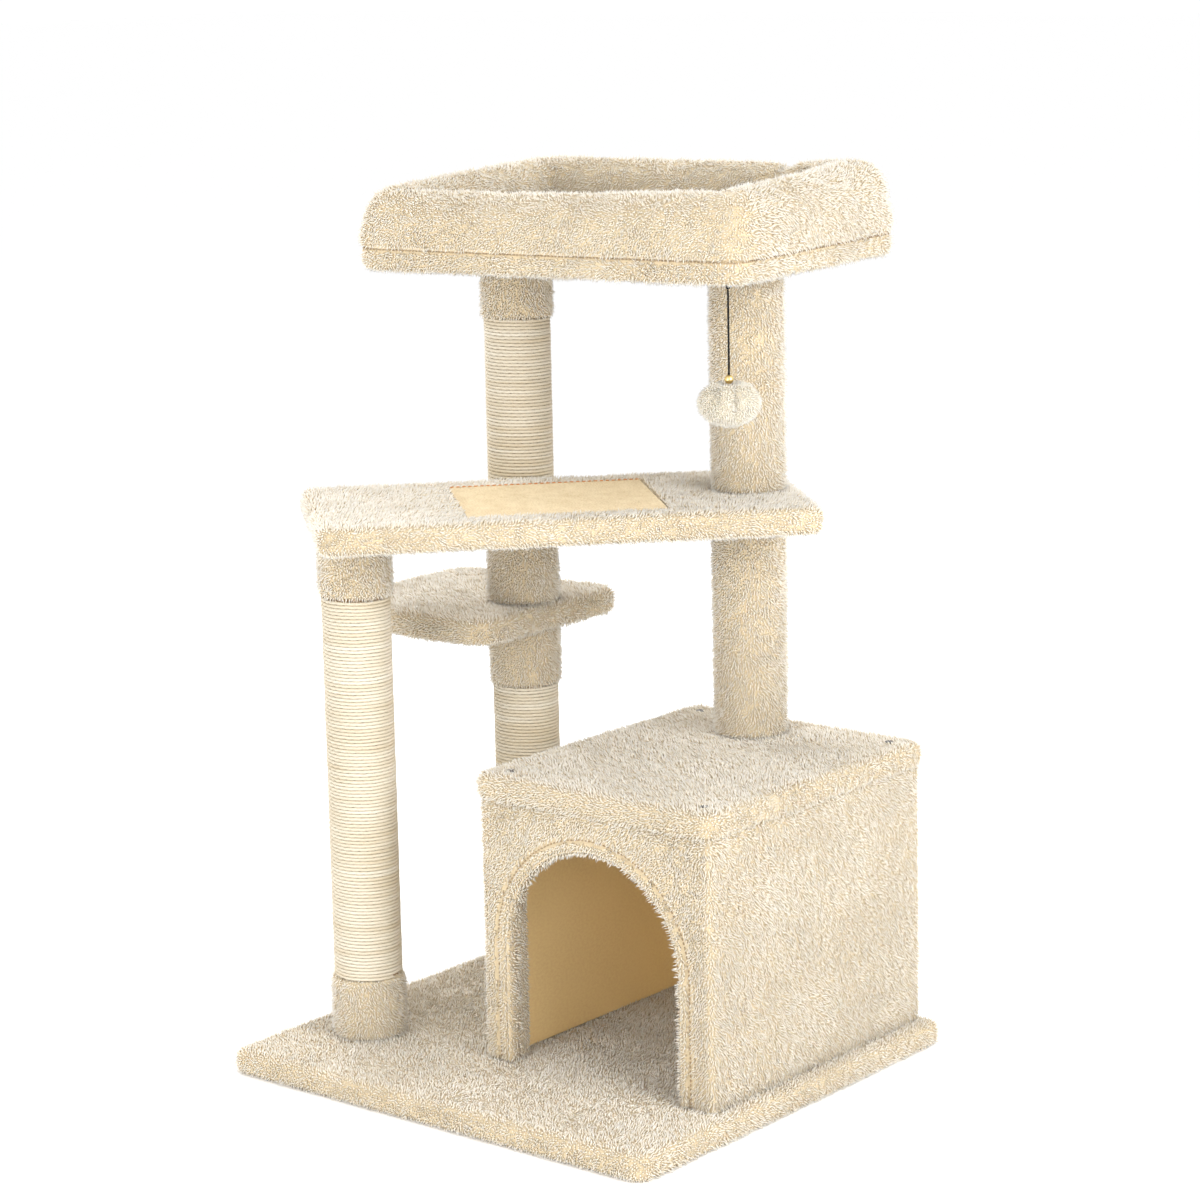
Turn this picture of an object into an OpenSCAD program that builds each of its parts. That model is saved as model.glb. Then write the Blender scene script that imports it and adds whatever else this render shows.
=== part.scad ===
// Cat tree: a base with a condo, three posts, a small shelf, a diagonal plank with a
// scratching pad, a padded perch on top and a hanging toy. X runs along the base's front edge,
// Y to the back, Z up. The origin is the centre of the base's underside, on the floor.

/* [Boards] */
// Width of the base
base_w = 534; // [500:1:580]
// Depth of the base
base_d = 500; // [470:1:540]
// Thickness of every board
board_t = 18; // [15:1:20]
// Thickness of the plush on faces and edges
plush_t = 5; // [4:0.5:6]
// Thickness of the cloth pressed flat under a board
under_t = 3; // [2:0.5:4]
// Corner radius of the base and the plank
corner_r = 15; // [8:1:25]

/* [Condo] */
// Outer width of the condo
condo_w = 289; // [270:1:300]
// Outer depth of the condo
condo_d = 356; // [330:1:365]
// Height of the condo's walls
wall_h = 268; // [240:1:300]
// Thickness of a wall board
wall_t = 12; // [9:1:15]
// X of the condo's centre
condo_x = 104.5; // [95:0.5:110]
// Y of the condo's centre
condo_y = 60; // [50:1:64]
// How far the lid stands out past the walls
lid_overhang = 4; // [2:1:6]
// Side of the square battens in the condo's corners
batten_w = 15; // [12:1:18]
// Width of the doorway
door_w = 212; // [190:1:220]
// Height at which the doorway's arch starts, above the base
door_spring = 125; // [100:1:135]
// How far the doorway sits left of the condo's middle
door_shift = 4.5; // [0:0.5:6]

/* [Posts] */
// Diameter over the rope
rope_d = 70; // [66:1:74]
// Outer diameter of the cardboard tubes
tube_d = 62; // [58:1:64]
// Wall of the cardboard tubes
tube_wall = 5; // [3:0.5:6]
// Diameter over a plush collar or sleeve
sleeve_d = 78; // [74:1:82]
// Height of the post that stands on the condo and of the one above it
right_post_h = 226; // [210:1:240]
// Height of the small shelf's underside
shelf_z = 408; // [380:1:430]
// X of the front post and of the back post
left_x = -187; // [-195:1:-180]
// Y of the front post
front_y = -125; // [-135:1:-115]
// Y of the back post
back_y = 133; // [125:1:145]
// X of the right post
right_x = 83; // [75:1:95]
// Y of the right post
right_y = 171; // [160:1:180]

/* [Platforms] */
// Length of the plank
plank_l = 498; // [480:1:520]
// Width of the plank
plank_w = 260; // [240:1:270]
// Length of the woven scratching pad
pad_l = 200; // [180:1:210]
// Width of the woven scratching pad
pad_w = 180; // [160:1:190]
// Width of the small shelf
shelf_w = 231; // [215:1:245]
// Depth of the small shelf
shelf_d = 240; // [220:1:250]
// Width of the perch
perch_w = 446; // [430:1:460]
// Depth of the perch
perch_d = 340; // [320:1:350]
// Height of the perch's padded rim
rim_h = 74; // [60:1:85]
// Thickness of the perch's padded rim
rim_t = 56; // [45:1:65]
// Thickness of the bed pad in the perch
bed_t = 20; // [12:1:30]

/* [Toy] */
// Length of the elastic cord
cord_l = 81; // [70:1:90]
// Diameter of the elastic cord
cord_d = 2; // [1.5:0.1:2.5]
// Width of the pompom
pompom_w = 64; // [50:1:66]
// Height of the pompom
pompom_h = 50; // [40:1:54]
// Diameter of the bell
bell_d = 9; // [8:0.5:10]

/* [Hidden] */

$fn = 48;
board_h = under_t + board_t + plush_t;
hem_w = 28;
plush_color = [0.90, 0.85, 0.74];
wood_color = [0.76, 0.62, 0.42];
card_color = [0.70, 0.56, 0.38];
sisal_color = [0.86, 0.78, 0.60];
steel_color = [0.72, 0.72, 0.74];

// Heights, from the floor up
condo_z = board_h;
lid_z = condo_z + wall_h;
lid_top = lid_z + board_h;
plank_z = lid_top + right_post_h;
plank_top = plank_z + board_h;
perch_z = plank_top + right_post_h;
perch_top = perch_z + board_h;
shelf_top = shelf_z + board_h;

// Condo walls
condo_x0 = condo_x - condo_w / 2;
condo_x1 = condo_x + condo_w / 2;
condo_y0 = condo_y - condo_d / 2;
condo_y1 = condo_y + condo_d / 2;
inner_x0 = condo_x0 + plush_t + wall_t;
inner_x1 = condo_x1 - plush_t - wall_t;
inner_y0 = condo_y0 + plush_t + wall_t;
inner_y1 = condo_y1 - plush_t - wall_t;
door_x = condo_x - door_shift;
binding_t = 3;
lid_w = condo_w + 2 * lid_overhang;
lid_d = condo_d + 2 * lid_overhang;

// Post places and the lines that the plank and the perch lie along
front_post = [left_x, front_y];
back_post = [left_x, back_y];
right_post = [right_x, right_y];
plank_turn = atan2(right_y - front_y, right_x - left_x);
plank_mid = (front_post + right_post) / 2 + 4 * [cos(plank_turn), sin(plank_turn)];
perch_turn = atan2(right_y - back_y, right_x - left_x);
perch_mid = (back_post + right_post) / 2;
shelf_mid = [left_x - 70.5, back_y - 3];

// Fastenings
plug_t = 15;
insert_d = 11;
bolt_d = 8;
head_d = 18;
head_t = 5;
screw_d = 4;
screw_head_d = 8;
screw_head_t = 3;
screw_l = 40;
collar_h = 62;
pad_t = plush_t;
window_gap = 0.5;

// Places of the screws that hold the condo, one in each batten
batten_places = [for (x = [inner_x0 + batten_w / 2, inner_x1 - batten_w / 2],
                      y = [inner_y0 + batten_w / 2, inner_y1 - batten_w / 2]) [x, y]];

// Where the toy hangs: near the perch's front right corner
toy_inset = 25;
toy_u = perch_w / 2 - toy_inset;
toy_v = -perch_d / 2 + toy_inset - 4;
toy_at = perch_mid + [toy_u * cos(perch_turn) - toy_v * sin(perch_turn),
                      toy_u * sin(perch_turn) + toy_v * cos(perch_turn)];
pivot_drop = 4;
pivot_z = perch_z - pivot_drop;
staple_wire = 1.6;
staple_w = 8;
staple_depth = 12;
loop_wire = 1.8;
loop_r = 2.2;
cord_gap = 3.4;
cord_top = pivot_z - cord_gap;
cord_end = cord_top - cord_l;
bell_z = cord_end - bell_d / 2;
pompom_z = bell_z - bell_d / 2 - 16;
cord_points = [for (i = [0:10]) [toy_at[0], toy_at[1], cord_top - cord_l * i / 10]];

// A flat rectangle with rounded corners, about its own centre
module rounded(w, d, r) {
    square([w - 2 * r, d], center = true);
    square([w, d - 2 * r], center = true);
    for (x = [-1, 1], y = [-1, 1])
        translate([x * (w / 2 - r), y * (d / 2 - r)]) circle(r);
}

module slab(w, d, r, h) {
    linear_extrude(h) rounded(w, d, r);
}

module place(at, z, turn = 0) {
    translate([at[0], at[1], z]) rotate([0, 0, turn]) children();
}

// A board, and the cloth that wraps it: pile on top and sides, pressed flat below
module wrapped_board(w, d, r) {
    translate([0, 0, under_t]) slab(w - 2 * plush_t, d - 2 * plush_t, r - plush_t, board_t);
}

module wrap(w, d, r) {
    difference() {
        slab(w, d, r, board_h);
        wrapped_board(w, d, r);
    }
}

module hole(at, d, z0, z1) {
    translate([at[0], at[1], z0]) cylinder(d = d, h = z1 - z0);
}

module ring(d_out, d_in, h) {
    difference() {
        cylinder(d = d_out, h = h, $fn = 96);
        translate([0, 0, -1]) cylinder(d = d_in, h = h + 2, $fn = 96);
    }
}

// A bolt with its head down and its shank up, from the head's seat
module bolt(reach) {
    translate([0, 0, -head_t]) cylinder(d = head_d, h = head_t);
    cylinder(d = bolt_d, h = reach);
}

module screw(reach) {
    cylinder(d = screw_head_d, h = screw_head_t);
    cylinder(d = screw_d, h = reach);
}

// Post pieces, each for a post of height h that stands at z = 0
module tube(h) {
    ring(tube_d, tube_d - 2 * tube_wall, h);
}

module plugs(h) {
    for (z = [0, h - plug_t])
        translate([0, 0, z]) ring(tube_d - 2 * tube_wall, insert_d, plug_t);
}

module rope(h) {
    translate([0, 0, collar_h]) ring(rope_d, tube_d, h - 2 * collar_h);
}

module collar(z) {
    translate([0, 0, z]) ring(sleeve_d, tube_d, collar_h);
}

module sleeve(h) {
    ring(sleeve_d, tube_d, h);
}

// Each post's place, foot height and own height
front_h = plank_z - condo_z;
back_h = shelf_z - condo_z;
back_top_h = perch_z - shelf_top;

module at_front() { place(front_post, condo_z) children(); }
module at_back() { place(back_post, condo_z) children(); }
module at_back_top() { place(back_post, shelf_top) children(); }
module at_right() { place(right_post, lid_top) children(); }
module at_right_top() { place(right_post, plank_top) children(); }

// Base
module base_board() {
    color(wood_color)
    difference() {
        wrapped_board(base_w, base_d, corner_r);
        for (p = [front_post, back_post]) {
            hole(p, bolt_d, 0, board_h);
            hole(p, head_d, 0, under_t + head_t);
        }
        for (p = batten_places) {
            hole(p, screw_d, 0, board_h);
            hole(p, screw_head_d, 0, under_t + screw_head_t);
        }
    }
}

module base_cover() {
    color(plush_color)
    difference() {
        wrap(base_w, base_d, corner_r);
        translate([0, 0, -1])
            slab(base_w - 2 * hem_w, base_d - 2 * hem_w, corner_r, under_t + 1);
        for (p = [front_post, back_post]) hole(p, bolt_d, board_h - plush_t - 1, board_h + 1);
        for (p = batten_places) hole(p, screw_d, board_h - plush_t - 1, board_h + 1);
    }
}

module base_liner() {
    color([0.35, 0.33, 0.30])
    difference() {
        slab(base_w - 2 * hem_w, base_d - 2 * hem_w, corner_r, under_t);
        for (p = [front_post, back_post]) hole(p, head_d, -1, under_t + 1);
        for (p = batten_places) hole(p, screw_head_d, -1, under_t + 1);
    }
}

module base_bolts() {
    color(steel_color)
    for (p = [front_post, back_post]) place(p, under_t + head_t) bolt(board_h + 10 - head_t);
}

module base_screws() {
    color(steel_color)
    for (p = batten_places) place(p, under_t) screw(screw_l);
}

// Condo
module door_shape(w) {
    translate([0, door_spring]) circle(d = w, $fn = 96);
    translate([-w / 2, 0]) square([w, door_spring]);
}

// A bar with the doorway's outline, from y0 to y1
module door_bar(w, y0, y1) {
    translate([door_x, y1, condo_z]) rotate([90, 0, 0]) linear_extrude(y1 - y0) door_shape(w);
}

module panel(x0, x1, y0, y1) {
    translate([x0, y0, condo_z]) cube([x1 - x0, y1 - y0, wall_h]);
}

module condo_front_panel() {
    color(wood_color)
    difference() {
        panel(condo_x0 + plush_t, condo_x1 - plush_t, condo_y0 + plush_t, inner_y0);
        door_bar(door_w + 2 * binding_t, condo_y0, inner_y0 + 1);
    }
}

module condo_left_panel() {
    color(wood_color) panel(condo_x0 + plush_t, inner_x0, inner_y0, inner_y1);
}

module condo_right_panel() {
    color(wood_color) panel(inner_x1, condo_x1 - plush_t, inner_y0, inner_y1);
}

module condo_back_panel() {
    color(wood_color) panel(condo_x0 + plush_t, condo_x1 - plush_t, inner_y1, condo_y1 - plush_t);
}

module condo_battens() {
    color(wood_color)
    difference() {
        for (p = batten_places)
            translate([p[0] - batten_w / 2, p[1] - batten_w / 2, condo_z])
                cube([batten_w, batten_w, wall_h]);
        for (p = batten_places) {
            hole(p, screw_d, condo_z - 1, under_t + screw_l);
            hole(p, screw_d, lid_top - screw_l, lid_z + 1);
        }
    }
}

// Plush folded round the two front battens
module batten_wraps() {
    t = binding_t;
    color(plush_color)
    for (side = [0, 1]) {
        edge = side == 0 ? inner_x0 + batten_w : inner_x1 - batten_w - t;
        back = side == 0 ? inner_x0 : inner_x1 - batten_w - t;
        panel(edge, edge + t, inner_y0, inner_y0 + batten_w + t);
        panel(back, back + batten_w + t, inner_y0 + batten_w, inner_y0 + batten_w + t);
    }
}

module condo_wall_cover() {
    color(plush_color)
    difference() {
        place([condo_x, condo_y], condo_z) slab(condo_w, condo_d, plush_t, wall_h);
        translate([0, 0, -1]) panel(condo_x0 + plush_t, condo_x1 - plush_t,
                                    condo_y0 + plush_t, condo_y1 - plush_t);
        translate([0, 0, 1]) panel(condo_x0 + plush_t, condo_x1 - plush_t,
                                   condo_y0 + plush_t, condo_y1 - plush_t);
        door_bar(door_w + 2 * binding_t, condo_y0 - 1, inner_y0);
    }
}

// The plush turned into the doorway along the arch
module doorway_binding() {
    color(plush_color)
    difference() {
        door_bar(door_w + 2 * binding_t, condo_y0, inner_y0);
        door_bar(door_w, condo_y0 - 1, inner_y0 + 1);
    }
}

module at_lid() { place([condo_x, condo_y], lid_z) children(); }

module lid_holes(z0, z1) {
    hole(right_post, bolt_d, z0, z1);
    for (p = batten_places) hole(p, screw_d, z0, z1);
}

module condo_lid_board() {
    color(wood_color)
    difference() {
        at_lid() wrapped_board(lid_w, lid_d, corner_r);
        lid_holes(lid_z, lid_top);
    }
}

module condo_lid_cover() {
    color(plush_color)
    difference() {
        at_lid() wrap(lid_w, lid_d, corner_r);
        lid_holes(lid_z - 1, lid_top + 1);
        for (p = batten_places) hole(p, screw_head_d, lid_top - screw_head_t, lid_top + 1);
    }
}

module lid_screws() {
    color(steel_color)
    for (p = batten_places) place(p, lid_top) mirror([0, 0, 1]) screw(screw_l);
}

module lid_bolt() {
    color(steel_color) place(right_post, lid_z) bolt(board_h + 10);
}

// Front post: one tall scratching post between the base and the plank
module front_post_tube() { color(card_color) at_front() tube(front_h); }
module front_post_plugs() { color(wood_color) at_front() plugs(front_h); }
module front_post_rope() { color(sisal_color) at_front() rope(front_h); }
module front_post_lower_collar() { color(plush_color) at_front() collar(0); }
module front_post_upper_collar() { color(plush_color) at_front() collar(front_h - collar_h); }

// Back post: a scratching post from the base to the shelf
module back_post_tube() { color(card_color) at_back() tube(back_h); }
module back_post_plugs() { color(wood_color) at_back() plugs(back_h); }
module back_post_rope() { color(sisal_color) at_back() rope(back_h); }
module back_post_lower_collar() { color(plush_color) at_back() collar(0); }
module back_post_upper_collar() { color(plush_color) at_back() collar(back_h - collar_h); }

// Its upper half, from the shelf to the perch
module back_top_post_tube() { color(card_color) at_back_top() tube(back_top_h); }
module back_top_post_plugs() { color(wood_color) at_back_top() plugs(back_top_h); }
module back_top_post_rope() { color(sisal_color) at_back_top() rope(back_top_h); }
module back_top_post_lower_collar() { color(plush_color) at_back_top() collar(0); }
module back_top_post_upper_collar() {
    color(plush_color) at_back_top() collar(back_top_h - collar_h);
}

// Right post: plush all over, from the condo to the plank and on to the perch
module right_post_tube() { color(card_color) at_right() tube(right_post_h); }
module right_post_plugs() { color(wood_color) at_right() plugs(right_post_h); }
module right_post_sleeve() { color(plush_color) at_right() sleeve(right_post_h); }
module right_top_post_tube() { color(card_color) at_right_top() tube(right_post_h); }
module right_top_post_plugs() { color(wood_color) at_right_top() plugs(right_post_h); }
module right_top_post_sleeve() { color(plush_color) at_right_top() sleeve(right_post_h); }

// A threaded insert in each plug
module post_inserts() {
    color("goldenrod")
    for (p = [[front_post, condo_z, front_h], [back_post, condo_z, back_h],
              [back_post, shelf_top, back_top_h], [right_post, lid_top, right_post_h],
              [right_post, plank_top, right_post_h]])
        for (z = [p[1], p[1] + p[2] - plug_t])
            place(p[0], z) ring(insert_d, bolt_d, plug_t);
}

// Studs with no head: post to plank, and post to post through the shelf and the plank
module joining_studs() {
    color(steel_color) {
        hole(front_post, bolt_d, plank_z - 12, plank_z + under_t + 14);
        hole(back_post, bolt_d, shelf_z - 12, shelf_top + 12);
        hole(right_post, bolt_d, plank_z - 12, plank_top + 12);
    }
}

// Small shelf
module at_shelf() { place(shelf_mid, shelf_z) children(); }

module shelf_board() {
    color(wood_color)
    difference() {
        at_shelf() wrapped_board(shelf_w, shelf_d, 2 * corner_r);
        hole(back_post, bolt_d, shelf_z, shelf_top);
    }
}

module shelf_cover() {
    color(plush_color)
    difference() {
        at_shelf() wrap(shelf_w, shelf_d, 2 * corner_r);
        hole(back_post, bolt_d, shelf_z - 1, shelf_top + 1);
    }
}

// Plank with its scratching pad let into the plush
module at_plank(z) { place(plank_mid, z, plank_turn) children(); }

module plank_board() {
    color(wood_color)
    difference() {
        at_plank(plank_z) wrapped_board(plank_l, plank_w, corner_r);
        hole(right_post, bolt_d, plank_z, plank_top);
        hole(front_post, bolt_d, plank_z, plank_z + under_t + 14);
    }
}

module plank_cover() {
    color(plush_color)
    difference() {
        at_plank(plank_z) wrap(plank_l, plank_w, corner_r);
        at_plank(plank_top - plush_t)
            translate([-pad_l / 2 - window_gap, -pad_w / 2 - window_gap, 0])
                cube([pad_l + 2 * window_gap, pad_w + 2 * window_gap, plush_t + 1]);
        hole(right_post, bolt_d, plank_z - 1, plank_top + 1);
        hole(front_post, bolt_d, plank_z - 1, plank_z + under_t + 1);
    }
}

module scratching_pad() {
    color(sisal_color)
    at_plank(plank_top - plush_t) translate([-pad_l / 2, -pad_w / 2, 0])
        cube([pad_l, pad_w, pad_t]);
}

// Perch: board, padded rim and bed pad
perch_r = 22;
rim_in_r = 25;
module at_perch(z) { place(perch_mid, z, perch_turn) children(); }

module staple_legs() {
    for (x = [-1, 1])
        translate([x * staple_w / 2, 0, 0]) cylinder(d = staple_wire, h = staple_depth);
}

module at_toy(z) { place(toy_at, z) children(); }

module perch_board() {
    color(wood_color)
    difference() {
        at_perch(perch_z) wrapped_board(perch_w, perch_d, perch_r);
        for (p = [back_post, right_post]) {
            hole(p, bolt_d, perch_z, perch_top);
            hole(p, head_d, perch_top - plush_t - head_t, perch_top);
        }
        at_toy(pivot_z) staple_legs();
    }
}

module perch_cover() {
    color(plush_color)
    difference() {
        at_perch(perch_z) wrap(perch_w, perch_d, perch_r);
        for (p = [back_post, right_post]) {
            hole(p, bolt_d, perch_z - 1, perch_z + under_t + 1);
            hole(p, head_d, perch_top - plush_t - 1, perch_top + 1);
        }
        at_toy(pivot_z) staple_legs();
    }
}

module perch_bolts() {
    color(steel_color)
    for (p = [back_post, right_post])
        place(p, perch_top - plush_t - head_t) mirror([0, 0, 1])
            bolt(board_t - head_t + under_t + 12);
}

module perch_rim() {
    color(plush_color)
    at_perch(perch_top)
    difference() {
        slab(perch_w, perch_d, perch_r, rim_h);
        translate([0, 0, -1]) slab(perch_w - 2 * rim_t, perch_d - 2 * rim_t, rim_in_r, rim_h + 2);
    }
}

module bed_pad() {
    color(plush_color)
    at_perch(perch_top) slab(perch_w - 2 * rim_t - 1, perch_d - 2 * rim_t - 1, rim_in_r, bed_t);
}

// Toy: a staple, a loop that swings on it, and the cord with its bell and pompom
module toy_staple() {
    color(steel_color)
    at_toy(pivot_z) {
        staple_legs();
        translate([-staple_w / 2, 0, 0]) rotate([0, 90, 0])
            cylinder(d = staple_wire, h = staple_w);
        for (x = [-1, 1]) translate([x * staple_w / 2, 0, 0]) sphere(d = staple_wire);
    }
}

module toy_loop() {
    color([0.1, 0.1, 0.1])
    at_toy(pivot_z) rotate([0, 90, 0]) rotate_extrude()
        translate([loop_r, 0]) circle(d = loop_wire, $fn = 24);
}

// A tube swept along points, with flat ends: 8 sides, one ring at each point
function ring_at(p, r) = [for (i = [0:7]) [p[0] + r * cos(45 * i), p[1] + r * sin(45 * i), p[2]]];

module toy_cord() {
    n = len(cord_points);
    rings = [for (p = cord_points) each ring_at(p, cord_d / 2)];
    sides = [for (k = [0:n - 2], i = [0:7])
        [8 * k + i, 8 * (k + 1) + i, 8 * (k + 1) + (i + 1) % 8, 8 * k + (i + 1) % 8]];
    caps = [[for (i = [0:7]) i], [for (i = [7:-1:0]) 8 * (n - 1) + i]];
    color([0.1, 0.1, 0.1]) polyhedron(rings, concat(sides, caps));
}

module toy_bell() {
    wall = 0.6;
    slot = 1;
    color("gold")
    at_toy(bell_z)
    difference() {
        sphere(d = bell_d);
        sphere(d = bell_d - 2 * wall);
        for (a = [0, 90]) rotate([0, 0, a])
            translate([-bell_d, -slot / 2, -bell_d]) cube([2 * bell_d, slot, bell_d - 1]);
    }
}

module bell_pellet() {
    color(steel_color) at_toy(bell_z) translate([0, 0, -2]) sphere(d = 2.6);
}

// A squashed ball with a dimple at the top where the bell sits
module toy_pompom() {
    steps = 24;
    color([0.93, 0.89, 0.80])
    at_toy(pompom_z)
    difference() {
        rotate_extrude($fn = 48)
            polygon([for (i = [0:steps])
                let (a = -90 + 180 * i / steps) [pompom_w / 2 * cos(a), pompom_h / 2 * sin(a)]]);
        translate([0, 0, bell_z - pompom_z + 4]) sphere(r = bell_d + 1);
    }
}

base_board();
base_cover();
base_liner();
base_bolts();
base_screws();
condo_front_panel();
condo_left_panel();
condo_right_panel();
condo_back_panel();
condo_battens();
batten_wraps();
condo_wall_cover();
doorway_binding();
condo_lid_board();
condo_lid_cover();
lid_screws();
lid_bolt();
front_post_tube();
front_post_plugs();
front_post_rope();
front_post_lower_collar();
front_post_upper_collar();
back_post_tube();
back_post_plugs();
back_post_rope();
back_post_lower_collar();
back_post_upper_collar();
back_top_post_tube();
back_top_post_plugs();
back_top_post_rope();
back_top_post_lower_collar();
back_top_post_upper_collar();
right_post_tube();
right_post_plugs();
right_post_sleeve();
right_top_post_tube();
right_top_post_plugs();
right_top_post_sleeve();
post_inserts();
joining_studs();
shelf_board();
shelf_cover();
plank_board();
plank_cover();
scratching_pad();
perch_board();
perch_cover();
perch_bolts();
perch_rim();
bed_pad();
toy_staple();
toy_loop();
toy_cord();
toy_bell();
bell_pellet();
toy_pompom();
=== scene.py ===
import math

import bmesh
import bpy
import numpy as np
from mathutils import Matrix, Vector


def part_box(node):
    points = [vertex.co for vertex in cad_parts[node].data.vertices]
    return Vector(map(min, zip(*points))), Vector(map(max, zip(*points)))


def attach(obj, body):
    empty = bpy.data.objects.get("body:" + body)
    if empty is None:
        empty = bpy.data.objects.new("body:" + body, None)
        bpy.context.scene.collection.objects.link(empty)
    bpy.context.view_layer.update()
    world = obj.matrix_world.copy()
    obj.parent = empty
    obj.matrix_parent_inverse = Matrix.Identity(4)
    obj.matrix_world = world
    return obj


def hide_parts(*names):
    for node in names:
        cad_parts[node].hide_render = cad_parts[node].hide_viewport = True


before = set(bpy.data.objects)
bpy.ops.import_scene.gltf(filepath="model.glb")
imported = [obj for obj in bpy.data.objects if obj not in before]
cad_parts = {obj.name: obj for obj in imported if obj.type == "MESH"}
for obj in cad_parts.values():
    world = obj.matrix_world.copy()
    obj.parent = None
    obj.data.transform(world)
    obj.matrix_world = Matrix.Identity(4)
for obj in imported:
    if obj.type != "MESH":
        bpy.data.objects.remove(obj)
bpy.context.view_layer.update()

# --- Camera -----------------------------------------------------------------------------------
# A long lens at standing distance, a little above the plank, looking at the corner between
# the base's front and right edges.
view_azimuth = 39.3
view_elevation = 11.5
view_roll = -1.15
view_distance = 3.338
view_lens = 100.8
look_right = 0.0202
look_up = 0.476


def aim(azimuth, elevation):
    a, e = math.radians(azimuth), math.radians(elevation)
    return Vector((math.sin(a) * math.cos(e), -math.cos(a) * math.cos(e), math.sin(e)))


away = aim(view_azimuth, view_elevation)
across = Vector((math.cos(math.radians(view_azimuth)), math.sin(math.radians(view_azimuth)), 0))
camera = bpy.data.objects.new("camera", bpy.data.cameras.new("camera"))
bpy.context.collection.objects.link(camera)
camera.data.lens = view_lens
camera.data.sensor_width = 36
camera.location = across * look_right + Vector((0, 0, look_up)) + away * view_distance
turned = away.to_track_quat("Z", "Y").to_matrix().to_4x4()
rolled = turned @ Matrix.Rotation(math.radians(view_roll), 4, "Z")
camera.rotation_euler = rolled.to_euler()
bpy.context.scene.camera = camera

# --- Floor and light --------------------------------------------------------------------------
# A plain pale floor in an even white room, with three large soft lamps: at the right, low in
# front, and behind at the left.
floor_size = 60
floor_grey = 0.96
floor_roughness = 0.9
room_light = 1.04
# each lamp's direction, distance, width and power
lamps = {
    "key": (aim(84, 22), 2.6, 1.6, 52),
    "fill": (aim(8, 9), 2.9, 1.8, 45),
    "back": (aim(-112, 34), 2.6, 1.8, 48),
}


def add(tree, kind, inputs=None, **settings):
    """A new node with its settings, and its inputs set or linked."""
    made = tree.nodes.new(kind)
    for key, value in settings.items():
        setattr(made, key, value)
    for key, value in (inputs or {}).items():
        if isinstance(value, bpy.types.NodeSocket):
            tree.links.new(value, made.inputs[key])
        else:
            made.inputs[key].default_value = value
    return made


def new_object(name, mesh):
    made = bpy.data.objects.new(name, mesh)
    bpy.context.collection.objects.link(made)
    return made


def blank_material(name):
    """A new material, its tree and its shader."""
    material = bpy.data.materials.new(name)
    material.use_nodes = True
    tree = material.node_tree
    return material, tree, tree.nodes["Principled BSDF"]


floor_mesh = bpy.data.meshes.new("floor")
half = floor_size / 2
floor_mesh.from_pydata(
    [(-half, -half, 0), (half, -half, 0), (half, half, 0), (-half, half, 0)], [], [(0, 1, 2, 3)]
)
floor = new_object("floor", floor_mesh)
floor_material, _, floor_shader = blank_material("floor")
floor_shader.inputs["Base Color"].default_value = (floor_grey, floor_grey, floor_grey, 1)
floor_shader.inputs["Roughness"].default_value = floor_roughness
floor.data.materials.append(floor_material)

for name, (where, distance, size, power) in lamps.items():
    lamp = bpy.data.objects.new(name, bpy.data.lights.new(name, "AREA"))
    bpy.context.collection.objects.link(lamp)
    lamp.data.size = size
    lamp.data.energy = power
    lamp.location = Vector((0, 0, look_up)) + where * distance
    lamp.rotation_euler = where.to_track_quat("Z", "Y").to_euler()

world = bpy.data.worlds.new("room")
world.use_nodes = True
room = world.node_tree.nodes["Background"]
room.inputs["Color"].default_value = (1, 1, 1, 1)
room.inputs["Strength"].default_value = room_light
bpy.context.scene.world = world
bpy.context.scene.view_settings.view_transform = "Standard"

# --- Elastic cord -----------------------------------------------------------------------------
# Round black elastic with a braided cover. It hangs straight down from a loop on a staple
# under the perch, and is tied to the bell.
cord_length = 0.081
cord_diameter = 0.002
cord_sides = 10
cord_steps = 60
braid_ridge = 0.05
braid_ridges = 3
braid_turn = 1.9


def centre_of(node):
    low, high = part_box(node)
    return (Vector(low) + Vector(high)) / 2


def make_mesh(name, points, faces):
    mesh = bpy.data.meshes.new(name)
    mesh.from_pydata([tuple(p) for p in points], [], [tuple(f) for f in faces])
    mesh.validate()
    mesh.polygons.foreach_set("use_smooth", [True] * len(mesh.polygons))
    return mesh


def tube_faces(rings, sides):
    """Faces of a tube of rings, with an end face on each end."""
    faces = []
    for k in range(rings - 1):
        for i in range(sides):
            j = (i + 1) % sides
            faces.append((k * sides + i, k * sides + j, (k + 1) * sides + j, (k + 1) * sides + i))
    faces.append(tuple(range(sides - 1, -1, -1)))
    faces.append(tuple((rings - 1) * sides + i for i in range(sides)))
    return faces


cord_low, cord_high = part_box("toy_cord")
cord_at = centre_of("toy_cord")
cord_points = []
for k in range(cord_steps + 1):
    z = cord_low[2] + cord_length * k / cord_steps
    for i in range(cord_sides):
        turn = 2 * math.pi * i / cord_sides
        ridge = 1 + braid_ridge * math.cos(braid_ridges * turn + braid_turn * k)
        reach = cord_diameter / 2 * ridge
        cord_points.append((cord_at.x + reach * math.cos(turn), cord_at.y + reach * math.sin(turn), z))
cord_mesh = make_mesh("elastic_cord", cord_points, tube_faces(cord_steps + 1, cord_sides))
cord = new_object("elastic_cord", cord_mesh)

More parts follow.
